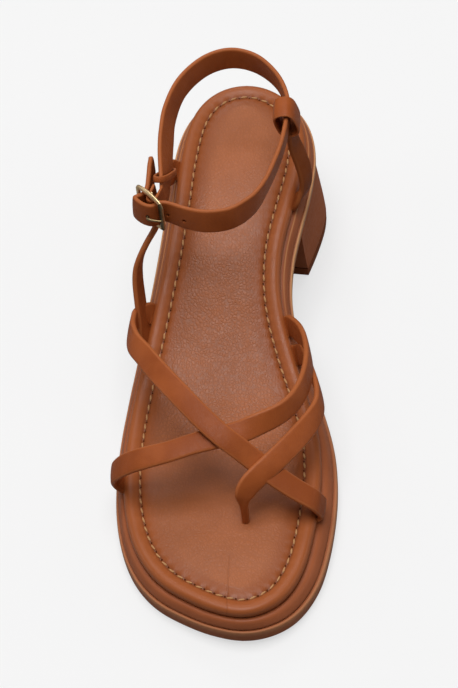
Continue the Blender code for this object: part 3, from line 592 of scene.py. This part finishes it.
def strap_section(width, thickness):
    """A strap's rounded section as (aside, out, edge) rows, where edge is 1 on its rim."""
    radius = min(ROUNDED_THICKNESS * thickness, ROUNDED_WIDTH * width)
    flat = width / 2 - radius
    crown = SECTION_CROWN * thickness
    rows = []
    for sign_out, sweep_from in ((1, 0), (-1, 180)):
        for aside in np.linspace(flat, -flat, 9) * sign_out:
            rise = crown * (1 - (aside / flat) ** 2)
            rows.append((aside, sign_out * (thickness / 2 + rise - crown), 0.0))
        for degrees in range(18, 180, 18):
            angle = math.radians(90 + sweep_from + degrees)
            along_edge = -flat * sign_out + radius * math.cos(angle)
            height = (thickness / 2 - crown) * math.sin(angle)
            rows.append((along_edge, height, math.sin(math.radians(degrees))))
    return rows


def sweep(centres, facings, widths, thickness):
    """Vertices, faces and edge values of a strap carried along its line of centres."""
    rings, edges = [], []
    for centre, along, face, *size in zip(
            centres, directions(centres), facings, widths, thickness):
        out = unit(face - along * np.dot(face, along))
        aside = np.cross(along, out)
        section = strap_section(*size)
        rings.append([centre + aside * a + out * o for a, o, _ in section])
        edges += [edge for _, _, edge in section]
    count = len(rings[0])
    last = (len(rings) - 1) * count
    faces = [tuple(range(count))[::-1], *ring_walls(len(rings), count)]
    return np.vstack(rings), faces + [tuple(range(last, last + count))], edges


def tuck(side, along, slide=0.0):
    """A strap's end: over the rolled edge and down between footbed and midsole."""
    before, after = along - TUCK_REACH, along + TUCK_REACH
    near, far = edge_at(side, before), edge_at(side, after)
    outward = unit(np.array([far[1] - near[1], near[0] - far[0], 0.0])) * side
    slope = (midsole_top(after) - midsole_top(before)) / (2 * TUCK_REACH)
    up = unit(np.array([0.0, -slope, 1.0]))
    rows = []
    for offset, rise, share, lean in TUCK:
        across, station = edge_at(side, along + slide * share, offset)
        out = outward * math.sin(math.radians(lean)) + up * math.cos(math.radians(lean))
        true_lean = math.degrees(math.acos(out[2] / np.linalg.norm(out)))
        turn = math.degrees(math.atan2(out[1], out[0]))
        rows.append((across, station, midsole_top(station) + rise, true_lean, turn))
    return rows


def build_strap(name, finish, start, route, end=None):
    """A strap along its route, tucked in at its start and, where given, at its end."""
    rows = [*tuck(*start), *route, *(tuck(*end)[::-1] if end else ())]
    rows = [(*row[:3], *facing(*row[3:5]), *(row[5:] or (1.0,))) for row in rows]
    rows = catmull(rows, STRAP_STEPS)
    taper = rows[:, 6]
    thickness = STRAP_THICKNESS * (1 + TAPER_SWELL * (1 - taper))
    vertices, faces, edges = sweep(rows[:, :3], rows[:, 3:6], STRAP_WIDTH * taper, thickness)
    return leather_piece(name, vertices, faces, edges, finish)


def squared(value, power):
    """A sine or cosine with its size raised to a power, which squares off a circle below 1."""
    return math.copysign(abs(value) ** power, value)


def build_loop(name, finish, centre, along, out, length, clear_width, clear_depth):
    """A leather loop round the ankle strap, with rounded rims."""
    along = unit(np.array(along, float))
    out = unit(np.array(out, float) - along * np.dot(out, along))
    aside = np.cross(along, out)
    centre = np.array(centre)
    rings, edges = [], []
    for degrees in range(0, 360, 30):
        angle = math.radians(degrees)
        distance = squared(math.cos(angle), 0.35) * 0.5
        wall = 0.5 + 0.5 * squared(math.sin(angle), 0.6)
        half_wide = clear_width / 2 + wall * LOOP_WALL
        half_deep = clear_depth / 2 + wall * LOOP_WALL
        ring = []
        for k in range(LOOP_SIDES):
            turn = 2 * math.pi * (k + 0.5) / LOOP_SIDES
            a = squared(math.cos(turn), 0.6) * half_wide
            o = squared(math.sin(turn), 0.75) * half_deep
            ring.append(centre + along * distance * length + aside * a + out * o)
        rings.append(ring)
        edges += [abs(math.cos(angle)) ** 4] * LOOP_SIDES
    faces = ring_walls(len(rings), LOOP_SIDES, closed=True)
    return leather_piece(name, np.vstack(rings), faces, edges, finish, None)


# ---- ankle strap and buckle

FRAME_ARM = np.array(FRAME_FRONT) - FRAME_BACK
FRAME_LENGTH = np.linalg.norm(FRAME_ARM)
FRAME_MIDDLE = (np.array(FRAME_FRONT) + FRAME_BACK) / 2
FRAME_AHEAD = unit(FRAME_ARM)
FRAME_INWARD = np.array([-FRAME_AHEAD[1], FRAME_AHEAD[0]])
BAR = FRAME_MIDDLE + FRAME_INWARD * BAR_BOW


def build_ankle_strap(finish):
    """The long strap, from its fold round the buckle's bar to its tail."""
    back = unit((np.array(ANKLE_ROUTE[0][:2]) + FOLD_END[:2]) / 2 - BAR)
    first = math.degrees(math.atan2(back[1], back[0])) + 90
    folded = [(*FOLD_END, 90)]
    for degrees in range(0, 181, 12):
        angle = math.radians(first + degrees)
        turned = BAR + FOLD_RADIUS * np.array([math.cos(angle), math.sin(angle)])
        folded.append((*turned, FRAME_HEIGHT, 90))
    rows = np.vstack([np.array(folded), catmull(ANKLE_ROUTE, STRAP_STEPS)])
    centres, facings = rows[:, :3], []
    total = len(rows)
    for ahead, lean in zip(directions(centres), rows[:, 3]):
        lean = math.radians(lean)
        left = unit(np.array([-ahead[1], ahead[0], 0.0]))
        facings.append(left * math.sin(lean) + np.array([0.0, 0.0, math.cos(lean)]))
    order = np.arange(total)
    taper = np.interp(order, [total - n for n, _ in TAIL], [share for _, share in TAIL])
    ease = (len(folded), len(folded) + FOLD_EASE)
    thickness = np.interp(order, ease, (FOLD_THICKNESS, ANKLE_THICKNESS))
    vertices, faces, edges = sweep(centres, facings, taper * ANKLE_WIDTH, thickness)
    return leather_piece("ankle_strap_leather", vertices, faces, edges, finish)


def wire(points, radius, closed, flatness=1.0, sides=14, taper=None):
    """Vertices and faces of a wire through points in one plane, wider in that plane."""
    rings = []
    points = np.asarray(points, float)
    total = len(points)
    flatness = np.broadcast_to(flatness, total)
    spread = points - points.mean(axis=0)
    normal = np.linalg.svd(spread)[2][-1] if total > 2 else None
    for i, (point, along) in enumerate(zip(points, directions(points, closed))):
        if normal is None:
            normal = np.cross(along, (0.3, 0.2, 1.0) if abs(along[2]) < 0.9 else (1.0, 0.8, 0.0))
        out = unit(normal - along * np.dot(normal, along))
        aside = np.cross(along, out)
        size = radius * (taper[i] if taper is not None else 1.0)
        ring = []
        for k in range(sides):
            turn = 2 * math.pi * (k + 0.5) / sides
            wide = flatness[i] * math.sin(turn) * aside
            ring.append(point + size * (math.cos(turn) * out + wide))
        rings.append(ring)
    faces = ring_walls(total, sides, closed)
    if not closed:
        faces.append(tuple(range(sides))[::-1])
        faces.append(tuple(range((total - 1) * sides, total * sides)))
    return np.vstack(rings), faces


def frame_points():
    """The middle line of the buckle's frame: a bowed rectangle with round corners."""
    half_long, half_high, corner = FRAME_LENGTH / 2, FRAME_SPAN / 2, FRAME_CORNER
    flat = []
    for sign_long, sign_high, first in ((1, 1, 0), (-1, 1, 90), (-1, -1, 180), (1, -1, 270)):
        for degrees in range(0, 91, 10):
            angle = math.radians(first + degrees)
            far = sign_long * (half_long - corner) + corner * math.cos(angle)
            flat.append((far, sign_high * (half_high - corner) + corner * math.sin(angle)))
        if sign_high == sign_long:
            step = sign_high * (half_long - corner)
            flat += [(step * s, sign_high * half_high) for s in np.linspace(0.9, -0.9, 13)]
        else:
            step = sign_high * (half_high - corner)
            flat += [(sign_long * half_long, step * s) for s in np.linspace(0.9, -0.9, 9)]
    points = []
    for far, high in flat:
        bow = 1 - (far / half_long) ** 2
        place_flat = FRAME_MIDDLE + FRAME_AHEAD * far + FRAME_INWARD * FRAME_BOW * bow
        arch = FRAME_ARCH * bow * max(-1.0, min(1.0, high / (half_high - corner)))
        points.append((*place_flat, FRAME_HEIGHT + high + arch))
    return points


def frame_shape(points):
    """Which points lie on the front bar, how flat the frame is and how its arms swell."""
    points = np.array(points)
    on_front = (np.linalg.norm(points[:, :2] - FRAME_FRONT, axis=1) < 0.5).astype(float)
    flatness = FRAME_FLATNESS + (FRONT_FLATNESS - FRAME_FLATNESS) * on_front
    share = np.linalg.norm(points[:, :2] - FRAME_MIDDLE, axis=1) / FRAME_LENGTH * 2
    swell = ARM_ENDS + (ARM_MIDDLE - ARM_ENDS) * (1 - np.clip(share, 0, 1) ** 2)
    on_arm = np.abs(points[:, 2] - FRAME_HEIGHT) > FRAME_SPAN / 2 - FRAME_CORNER
    return on_front, flatness, np.where(on_arm, swell, 1.0)


def build_buckle(finish):
    """The buckle's frame, the bar it turns on and its prong."""
    points = frame_points()
    on_front, flatness, swell = frame_shape(points)
    vertices, faces = wire(points, FRAME_WIRE, True, flatness, 18, swell)
    rim = new_piece("buckle", vertices, faces, finish, "buckle_metal")
    sides = len(vertices) // len(points)
    facet = np.abs(np.cos(2 * math.pi * (np.arange(sides) + 0.5) / sides))
    # Painted dark reflection on the front bar's faces.
    add_attribute(rim, "aged", (on_front[:, None] * facet[None, :] ** 0.5).ravel())
    reach = FRAME_SPAN / 2 + FRAME_ARCH
    ends = [(*BAR, FRAME_HEIGHT + side * reach) for side in (-1, 1)]
    vertices, faces = wire(ends, BAR_WIRE, False)
    bar = new_piece("buckle_bar", vertices, faces, finish, "buckle_metal", 40)
    route = catmull(PRONG_ROUTE, STRAP_STEPS)
    count = len(route)
    taper = np.interp(
        np.arange(count), (0, count * 0.6, count - 3, count - 1), (1, 1, 0.85, 0.45))
    vertices, faces = wire(route, PRONG_WIDTH / 2, False, taper=taper)
    tongue = new_piece("prong", vertices, faces, finish, "buckle_metal", 50)
    add_attribute(tongue, "aged", np.full(len(vertices), PRONG_DARK_REFLECTION))
    return rim, bar, tongue


def punch(made, name, across, along, height, direction, radius=HOLE_RADIUS):
    """Cuts one round hole through the ankle strap."""
    middle = np.array([across, along, height])
    angle = math.radians(direction)
    way = np.array([math.cos(angle), math.sin(angle), 0.0]) * CUTTER_REACH
    vertices, faces = wire([middle - way, middle + way], radius, False, sides=20)
    cutter = new_piece(name, vertices, faces, made.data.materials[0], "strap_leather", 40)
    step = made.modifiers.new(name, "BOOLEAN")
    step.operation = "DIFFERENCE"
    step.solver = "EXACT"
    step.object = cutter
    cut = evaluated_mesh(made)
    made.modifiers.remove(step)
    made.data = cut
    bpy.data.objects.remove(cutter)


# ---- nodes

# The Mix node has a socket for each kind of value; these are the ones for colours.
MIX_FIRST, MIX_SECOND, MIX_RESULT = 6, 7, 2


class Value:
    """A shader value that can be used in sums; each operator adds its Math node."""

    def __init__(self, finish, socket):
        self.finish, self.socket = finish, socket

    def _math(self, operation, other):
        node = self.finish.node("ShaderNodeMath", {"operation": operation}, self, other)
        return Value(self.finish, node.outputs[0])

    def __add__(self, other):
        return self._math("ADD", other)

    def __sub__(self, other):
        return self._math("SUBTRACT", other)

    def __mul__(self, other):
        return self._math("MULTIPLY", other)

    __radd__, __rmul__ = __add__, __mul__


def put(tree, value, socket):
    """Links a value to a socket, or sets the socket to a plain number, vector or material."""
    value = value.socket if isinstance(value, Value) else value
    if isinstance(value, bpy.types.NodeSocket):
        tree.links.new(value, socket)
    else:
        socket.default_value = value


def add_node(tree, kind, settings=None, *values, **named):
    """One node: its settings first, then its socket values or links."""
    made = tree.nodes.new(kind)
    for key, value in (settings or {}).items():
        setattr(made, key, value)
    for key, value in (*enumerate(values), *named.items()):
        put(tree, value, made.inputs[key.replace("_", " ") if isinstance(key, str) else key])
    return made


def mix_colours(tree, share, first, second):
    """The colour that lies a share of the way from the first to the second."""
    made = add_node(tree, "ShaderNodeMix", {"data_type": "RGBA"}, share)
    for socket, value in ((MIX_FIRST, first), (MIX_SECOND, second)):
        put(tree, (*value, 1.0) if isinstance(value, tuple) else value, made.inputs[socket])
    return made.outputs[MIX_RESULT]


# ---- stitches

def stitch_tree(count, thread, needle_hole_shade):
    """Lays one thread stitch and its needle hole, a sunk dark blob of painted shade, at even steps
    along a closed line.
    """
    tree = bpy.data.node_groups.new("lay_stitches", "GeometryNodeTree")
    for label, way in (("Line", "INPUT"), ("Stitches", "OUTPUT")):
        tree.interface.new_socket(label, in_out=way, socket_type="NodeSocketGeometry")
    node = partial(add_node, tree)
    pair = node("GeometryNodeJoinGeometry")
    for rings, size, shift, finish in (
        (6, (STITCH_LENGTH, STITCH_THICKNESS, STITCH_THICKNESS), (0.0, 0.0, 0.0), thread),
        (5, NEEDLE_HOLE, (NEEDLE_HOLE_PLACE * STITCH_LENGTH, 0.0, -NEEDLE_HOLE_SINK), needle_hole_shade),
    ):
        ball = node("GeometryNodeMeshUVSphere", Segments=8, Rings=rings, Radius=0.5)
        body = node("GeometryNodeTransform", Geometry=ball.outputs[0],
                    Translation=[part * MM for part in shift], Scale=[part * MM for part in size])
        body = node("GeometryNodeSetMaterial", Geometry=body.outputs[0], Material=finish)
        put(tree, body.outputs[0], pair.inputs[0])
    line = node("NodeGroupInput").outputs[0]
    steps = node("GeometryNodeResampleCurve", Curve=line, Count=count)
    tangent = node("GeometryNodeInputTangent").outputs[0]
    aimed = node("FunctionNodeAlignRotationToVector", {"axis": "X"}, Vector=tangent)
    level = node("FunctionNodeAlignRotationToVector", {"axis": "Z", "pivot_axis": "X"},
                 Rotation=aimed.outputs[0], Vector=(0.0, 0.0, 1.0))
    turned = node("FunctionNodeRotateRotation", {"rotation_space": "LOCAL"},
                  level.outputs[0], (0.0, 0.0, math.radians(STITCH_SLANT)))
    laid = node("GeometryNodeInstanceOnPoints", Points=steps.outputs[0],
                Instance=pair.outputs[0], Rotation=turned.outputs[0])
    real = node("GeometryNodeRealizeInstances", Geometry=laid.outputs[0])
    smooth = node("GeometryNodeSetShadeSmooth", Geometry=real.outputs[0])
    node("NodeGroupOutput", None, smooth.outputs[0])
    return tree


def build_stitches(thread, needle_hole_shade):
    """The row of stitches and needle holes in the footbed's channel."""
    points, run = channel_line()
    points[:, 2] += CHANNEL_LEVEL + PUCKER_DEPTH + STITCH_LIFT
    line = bpy.data.curves.new("stitch_line", "CURVE")
    line.dimensions = "3D"
    spline = line.splines.new("POLY")
    spline.points.add(len(points) - 1)
    ends = np.ones(len(points))
    spline.points.foreach_set("co", np.column_stack([place(points), ends]).ravel())
    spline.use_cyclic_u = True
    holder = new_object("stitch_line", line)
    step = holder.modifiers.new("stitches", "NODES")
    step.node_group = stitch_tree(round(run[-1] / STITCH_PITCH), thread, needle_hole_shade)
    made = new_object("footbed_stitches", evaluated_mesh(holder))
    bpy.data.objects.remove(holder)
    made["slot"] = "insole_leather"
    return made


# ---- finishes

class Finish:
    """A material and the nodes it is made of."""

    def __init__(self, name, colour, roughness, **constants):
        self.material = bpy.data.materials.new(name)
        self.material.use_nodes = True
        self.tree = self.material.node_tree
        self.shader = self.tree.nodes["Principled BSDF"]
        self.feed(Base_Color=(*colour, 1.0), Roughness=roughness, **constants)
        self.where = self.node("ShaderNodeTexCoord").outputs["Object"]

    def node(self, *given, **named):
        return add_node(self.tree, *given, **named)

    def axes(self):
        """The places across and along the shoe, in metres."""
        parts = self.node("ShaderNodeSeparateXYZ", None, self.where).outputs
        return Value(self, parts[0]), Value(self, parts[1])

    def noise(self, per_metre, detail=3.0, roughness=0.55, distortion=0.0, vector=None):
        made = self.node("ShaderNodeTexNoise", None, Vector=vector or self.where, Scale=per_metre,
                         Detail=detail, Roughness=roughness, Distortion=distortion)
        return Value(self, made.outputs["Fac"])

    def cells(self, per_metre, vector=None):
        made = self.node("ShaderNodeTexVoronoi", {"feature": "DISTANCE_TO_EDGE"},
                         Vector=vector or self.where, Scale=per_metre)
        return Value(self, made.outputs["Distance"])

    def attribute(self, name):
        made = self.node("ShaderNodeAttribute", {"attribute_name": name})
        return Value(self, made.outputs["Fac"])

    def between(self, value, low, high, to_low=0.0, to_high=1.0):
        """A smooth step: to_low up to the low value, to_high from the high value on."""
        made = self.node("ShaderNodeMapRange", {"interpolation_type": "SMOOTHSTEP", "clamp": True},
                         value, low, high, to_low, to_high)
        return Value(self, made.outputs[0])

    def blend(self, share, first, second):
        return mix_colours(self.tree, share, first, second)

    def feed(self, **links):
        for key, value in links.items():
            put(self.tree, value, self.shader.inputs[key.replace("_", " ")])

    def bump(self, height, strength, distance):
        made = self.node(
            "ShaderNodeBump", None, Height=height, Strength=strength, Distance=distance)
        return made.outputs["Normal"]


def strap_leather(name, depth, shine):
    """Strap leather with a painted highlight on its rims; depth darkens the tones, and a depth
    below 1 makes a copy in painted shade.
    """
    finish = Finish(name, (0.31, 0.066, 0.01), 0.42, Specular_IOR_Level=shine)
    rim = finish.attribute("rim")
    broad = finish.noise(45.0, 2.0)
    fine = finish.noise(700.0, 4.0, 0.62)
    dark, light, edge = (
        tuple(part * depth for part in colour)
        for colour in ((0.27, 0.06, 0.012), (0.35, 0.085, 0.019), (0.42, 0.122, 0.036)))
    mottle = finish.noise(230.0, 3.0, 0.6)
    tone = finish.blend(finish.between(broad * 0.75 + mottle * 0.25, 0.35, 0.65), dark, light)
    # Painted highlight: the rounded rims are lightened towards the edge colour.
    rim_highlight = finish.blend(finish.between(rim, 0.15, 0.7) * 0.75, tone, edge)
    finish.feed(Base_Color=rim_highlight, Roughness=finish.between(fine, 0.3, 0.7, 0.38, 0.54))
    grain = finish.cells(1300.0)
    height = fine * 0.6 + finish.between(grain, 0.0, 0.25) * 0.4
    finish.feed(Normal=finish.bump(height, 0.42, 0.0002))
    return finish.material


def footbed_leather():
    """The padded footbed's leather: painted shade in the channel, darker beside it, grained inside
    it.
    """
    finish = Finish("footbed_leather", (0.34, 0.098, 0.03), 0.42, Specular_IOR_Level=0.25)
    inset = finish.attribute("inset")
    across, along = finish.axes()
    broad = finish.noise(28.0, 3.0)
    tone = finish.blend(
        finish.between(broad, 0.3, 0.7), (0.325, 0.095, 0.029), (0.395, 0.12, 0.04))
    middle = finish.between(inset, 7.0, 14.0)
    rolled = finish.blend(middle, (0.355, 0.096, 0.026), tone)
    beside = finish.between(inset, 6.5, 8.0) * finish.between(inset, 9.0, 17.0, 1.0, 0.0)
    patchy = beside * finish.between(broad, 0.35, 0.6, 0.25, 0.6)
    rolled = finish.blend(patchy, rolled, (0.255, 0.062, 0.013))
    # Painted shade in the stitched channel.
    channel = finish.between(inset, 5.2, 6.7) * finish.between(inset, 6.9, 8.4, 1.0, 0.0)
    shaded = finish.blend(channel * 0.5, rolled, (0.13, 0.029, 0.006))
    wander = (finish.noise(60.0, 2.0) - 0.5) * 0.001
    aside = (across - CREASE_ACROSS * MM + wander) * 1000.0
    forward = finish.between(along, -0.1, -0.09, 1.0, 0.0)
    crease = finish.between(aside * aside, 0.0, 0.25, 1.0, 0.0) * forward
    creased = finish.blend(crease * 0.22, shaded, (0.15, 0.036, 0.009))
    drawn = finish.node("ShaderNodeMapping", None, finish.where, Scale=(1.1, 0.9, 1.0)).outputs[0]
    wrinkle = finish.noise(330.0, 5.0, 0.62, 0.8, drawn)
    pebble = finish.cells(700.0, drawn)
    waist = finish.between(along, -0.075, -0.03) * finish.between(along, 0.03, 0.075, 1.0, 0.0)
    grain = 0.25 + 0.4 * middle + 0.6 * waist * middle
    folds = wrinkle * 0.65 + finish.between(pebble, 0.0, 0.3) * 0.35
    lines = finish.between(folds, 0.38, 0.58, 1.0, 0.0) * grain
    grained = finish.blend(lines * 0.26, creased, (0.205, 0.062, 0.022))
    finish.feed(Base_Color=grained, Roughness=finish.between(wrinkle, 0.3, 0.7, 0.3, 0.46))
    finish.feed(Normal=finish.bump(folds * grain - crease * 0.4, 0.4, 0.0004))
    return finish.material


def band_finish(name, colour, light, roughness, shine, lip=None, back=None):
    """A platform layer; its outer top edge carries a painted highlight, one colour at the toe and
    another towards the heel, and a painted highlight line runs along its upper face towards the
    heel.
    """
    lip = lip or light
    back = back or lip
    finish = Finish(name, colour, roughness, Specular_IOR_Level=shine)
    broad = finish.noise(40.0, 3.0)
    fine = finish.noise(700.0, 3.0, 0.6)
    tone = finish.blend(finish.between(broad, 0.3, 0.7), colour, light)
    rearward = finish.between(finish.axes()[1], 0.0, 0.04)
    # Painted highlight on the outer top edge, lighter towards the heel.
    edge = finish.blend(rearward, lip, back)
    edged = finish.blend(finish.between(finish.attribute("lip"), 0.45, 0.85), tone, edge)
    # Painted highlight line towards the heel.
    crest = finish.between(finish.attribute("crest"), 0.3, 0.9) * rearward
    finish.feed(Base_Color=finish.blend(crest * 0.8, edged, back),
                Roughness=finish.between(fine, 0.3, 0.7, roughness - 0.06, roughness + 0.08))
    finish.feed(Normal=finish.bump(fine, 0.15, 0.0002))
    return finish.material


def buckle_gold():
    finish = Finish("pale_gold", (0.8, 0.56, 0.3), 0.36, Metallic=1.0)
    smear = finish.noise(260.0, 3.0)
    tone = finish.blend(finish.between(smear, 0.3, 0.7), (0.76, 0.52, 0.27), (0.86, 0.63, 0.36))
    # Painted reflection: the front bar and prong are darkened as if they reflected dark
    # surroundings.
    aged = finish.blend(finish.attribute("aged"), tone, (0.085, 0.062, 0.026))
    finish.feed(Base_Color=aged, Roughness=finish.between(smear, 0.3, 0.7, 0.33, 0.42))
    return finish.material


def mottled(name, colour, roughness, shine, per_metre, dark, light):
    """A finish that wavers between two tones, and the noise it follows."""
    finish = Finish(name, colour, roughness, Specular_IOR_Level=shine)
    waver = finish.noise(per_metre, 2.0)
    finish.feed(Base_Color=finish.blend(waver, dark, light))
    return finish, waver


# ---- the shoe

LEATHER = strap_leather("strap_leather", 1.0, 0.17)
# A darker copy of the strap leather, painted shade for the heel strap.
SHADED_LEATHER = strap_leather("strap_leather_painted_shade", 0.74, 0.06)
FOOTBED = footbed_leather()
# The edge colours given for the toe and towards the heel are painted highlights.
MIDSOLE = band_finish(
    "midsole_wrap", (0.325, 0.091, 0.031), (0.375, 0.108, 0.039), 0.4, 0.2,
    back=(0.52, 0.23, 0.095),
)
OUTSOLE = band_finish(
    "outsole_rubber", (0.34, 0.102, 0.038), (0.39, 0.121, 0.047), 0.46, 0.14,
    lip=(0.44, 0.175, 0.078), back=(0.62, 0.31, 0.14),
)
HEEL = band_finish("heel_wrap", (0.355, 0.099, 0.035), (0.405, 0.116, 0.043), 0.6, 0.1)
TIP = band_finish("top_piece_rubber", (0.19, 0.052, 0.018), (0.22, 0.062, 0.022), 0.7, 0.1)
GOLD = buckle_gold()
THREAD, twist = mottled(
    "waxed_thread", (0.48, 0.25, 0.1), 0.6, 0.2, 2600.0, (0.4, 0.19, 0.075), (0.62, 0.34, 0.15))
THREAD.feed(Normal=THREAD.bump(twist, 0.3, 0.0002))
# Dark blobs for the needle holes: painted shade.
HOLE_SHADE, _ = mottled(
    "needle_hole_shade", (0.1, 0.028, 0.009), 0.9, 0.0, 1500.0,
    (0.085, 0.023, 0.007), (0.12, 0.034, 0.011))

outsole = layer("platform", OUTSOLE_PROFILE, tread, outsole_thickness, OUTSOLE, "sole_unit")
midsole = layer(
    "platform_band", MIDSOLE_PROFILE, lambda along: outsole_top(along) + GAP,
    lambda along: MIDSOLE_THICKNESS, MIDSOLE, "midsole_band",
)
footbed = build_insole(FOOTBED)
heel, heel_tip = build_heel(HEEL, TIP)
stitches = build_stitches(THREAD.material, HOLE_SHADE.material)

# Each tucked end is given by its side, its place along the edge and how far it slides.
long_strap = build_strap("long_strap", LEATHER, (1, 53.4, -0.4), LONG_STRAP, (-1, 139.8, 3.0))
cross_strap = build_strap("cross_strap", LEATHER, (-1, 66.4, 0.4), CROSS_STRAP, (1, 134.6, 4.0))
toe_strap = build_strap("toe_strap", LEATHER, (1, 123.4, 4.5), TOE_STRAP)
front_leg = build_strap("side_strap_front_leg", LEATHER, (-1, 133.0, -5.0), SIDE_FRONT_LEG)
back_leg = build_strap("side_strap_back_leg", LEATHER, (-1, 200.4, 4.0), SIDE_BACK_LEG)
side_loop = build_loop(
    "side_strap_loop", LEATHER, centre=(-25.2, 167.6, 86.7), along=(0.0, 0.64, 0.77),
    out=(-1.0, 0.0, -0.25), length=2.6, clear_width=19.8, clear_depth=4.0,
)
heel_upright = build_strap("heel_strap_leather", SHADED_LEATHER, (1, 187.0), HEEL_STRAP)
heel_loop = build_loop(
    "heel_strap_loop", LEATHER, centre=(23.4, 194.0, 91.6), along=(0.0, 1.0, 0.1),
    out=(1.0, 0.0, 0.25), length=10.0, clear_width=13.2, clear_depth=7.0,
)
ankle = build_ankle_strap(LEATHER)
for number, hole in enumerate(HOLES):
    punch(ankle, f"strap_hole_{number}", *hole)
prong_root, prong_way = np.array(PRONG_ROUTE[0]), np.array(PRONG_ROUTE[2]) - PRONG_ROUTE[0]
punch(
    ankle, "prong_slot", *(prong_root + prong_way * 0.5),
    math.degrees(math.atan2(prong_way[1], prong_way[0])), PRONG_WIDTH / 2 + PRONG_CLEARANCE,
)
buckle, buckle_bar, prong = build_buckle(GOLD)

# Each piece rides on the shoe and stands for the solid named with it, where one is.
for made, *nodes in (
    (outsole, "outsole"), (midsole, "midsole"), (footbed, "insole"), (stitches,),
    (heel, "heel_block"), (heel_tip, "heel_top_piece"), (long_strap, "upper"),
    (cross_strap,), (toe_strap,), (front_leg,), (back_leg,), (side_loop,), (heel_loop,),
    (heel_upright, "heel_strap"), (ankle, "ankle_strap"),
    (buckle, "buckle_frame"), (buckle_bar,), (prong, "buckle_prong"),
):
    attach(made, "root")
    if nodes:
        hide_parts(*nodes)


# ---- floor, light and camera

EYE = Vector((0.08388, -0.59941, 0.8322))
PITCH = 57.0
VIEW_CENTRE = Vector((0.0, 0.0, 0.03))
LENS = 128.0
SENSOR = 36.0
FLOOR_HALF = 6.0
FLOOR_TONE = 0.285
FLOOR_MOTTLE = 0.003
FLOOR_GLOW = 0.63
WORLD_FILL = 0.15
LIGHTS = (
    # name, place, aim, size, power
    ("softbox", (-0.05, 0.0, 1.5), (0.0, 0.0, 0.0), (1.1, 0.9), 19.0),
    ("back_light", (-0.3, 1.4, 1.3), (0.0, 0.0, 0.0), (0.6, 0.5), 4.0),
    ("right_light", (1.3, 0.1, 0.5), (0.0, 0.0, 0.03), (0.8, 0.5), 1.8),
    ("left_light", (-1.3, 0.1, 0.5), (0.0, 0.0, 0.03), (0.8, 0.5), 1.8),
)


def grey(tone):
    return tone, tone, tone


def build_floor():
    """A pale floor that glows a little to the camera and to nothing else."""
    mesh = bpy.data.meshes.new("floor")
    half = FLOOR_HALF
    corners = [(-half, -half, 0), (half, -half, 0), (half, half, 0), (-half, half, 0)]
    mesh.from_pydata(corners, [], [(0, 1, 2, 3)])
    finish, _ = mottled(
        "pale_floor", grey(FLOOR_TONE), 0.9, 0.0, 6.0,
        grey(FLOOR_TONE - FLOOR_MOTTLE), grey(FLOOR_TONE + FLOOR_MOTTLE))
    seen = finish.node("ShaderNodeLightPath").outputs["Is Camera Ray"]
    glow = finish.blend(seen, grey(0.0), grey(1.0))
    finish.feed(Emission_Color=glow, Emission_Strength=FLOOR_GLOW)
    mesh.materials.append(finish.material)
    floor = new_object("floor", mesh)


def build_light():
    """The lamps, and a world that fills the shadows and looks as pale as the floor."""
    world = bpy.data.worlds.new("studio")
    world.use_nodes = True
    tree = world.node_tree
    seen = add_node(tree, "ShaderNodeLightPath").outputs["Is Camera Ray"]
    backdrop = mix_colours(tree, seen, grey(WORLD_FILL), grey(FLOOR_GLOW))
    put(tree, backdrop, tree.nodes["Background"].inputs["Color"])
    bpy.context.scene.world = world
    for name, place_at, aim, size, power in LIGHTS:
        lamp = bpy.data.lights.new(name, "AREA")
        lamp.shape = "RECTANGLE"
        lamp.size, lamp.size_y = size
        lamp.energy = power
        holder = new_object(name, lamp)
        holder.location = place_at
        way = Vector(aim) - Vector(place_at)
        holder.rotation_euler = way.to_track_quat("-Z", "Y").to_euler()


def build_camera():
    """The camera stands at EYE, level and pitched down, and turns to the shoe's middle."""
    sine, cosine = math.sin(math.radians(PITCH)), math.cos(math.radians(PITCH))
    ahead = Vector((0.0, cosine, -sine))
    upright = Matrix(((1.0, 0.0, 0.0), (0.0, sine, -cosine), (0.0, cosine, sine)))
    turn = ahead.rotation_difference((VIEW_CENTRE - EYE).normalized())
    lens = bpy.data.cameras.new("camera")
    lens.sensor_width = SENSOR
    lens.lens = LENS
    lens.clip_start, lens.clip_end = 0.05, 50.0
    camera = new_object("camera", lens)
    camera.rotation_mode = "QUATERNION"
    camera.rotation_quaternion = turn @ upright.to_quaternion()
    camera.location = EYE
    bpy.context.scene.camera = camera


build_floor()
build_light()
build_camera()
bpy.context.scene.view_settings.view_transform = "Standard"
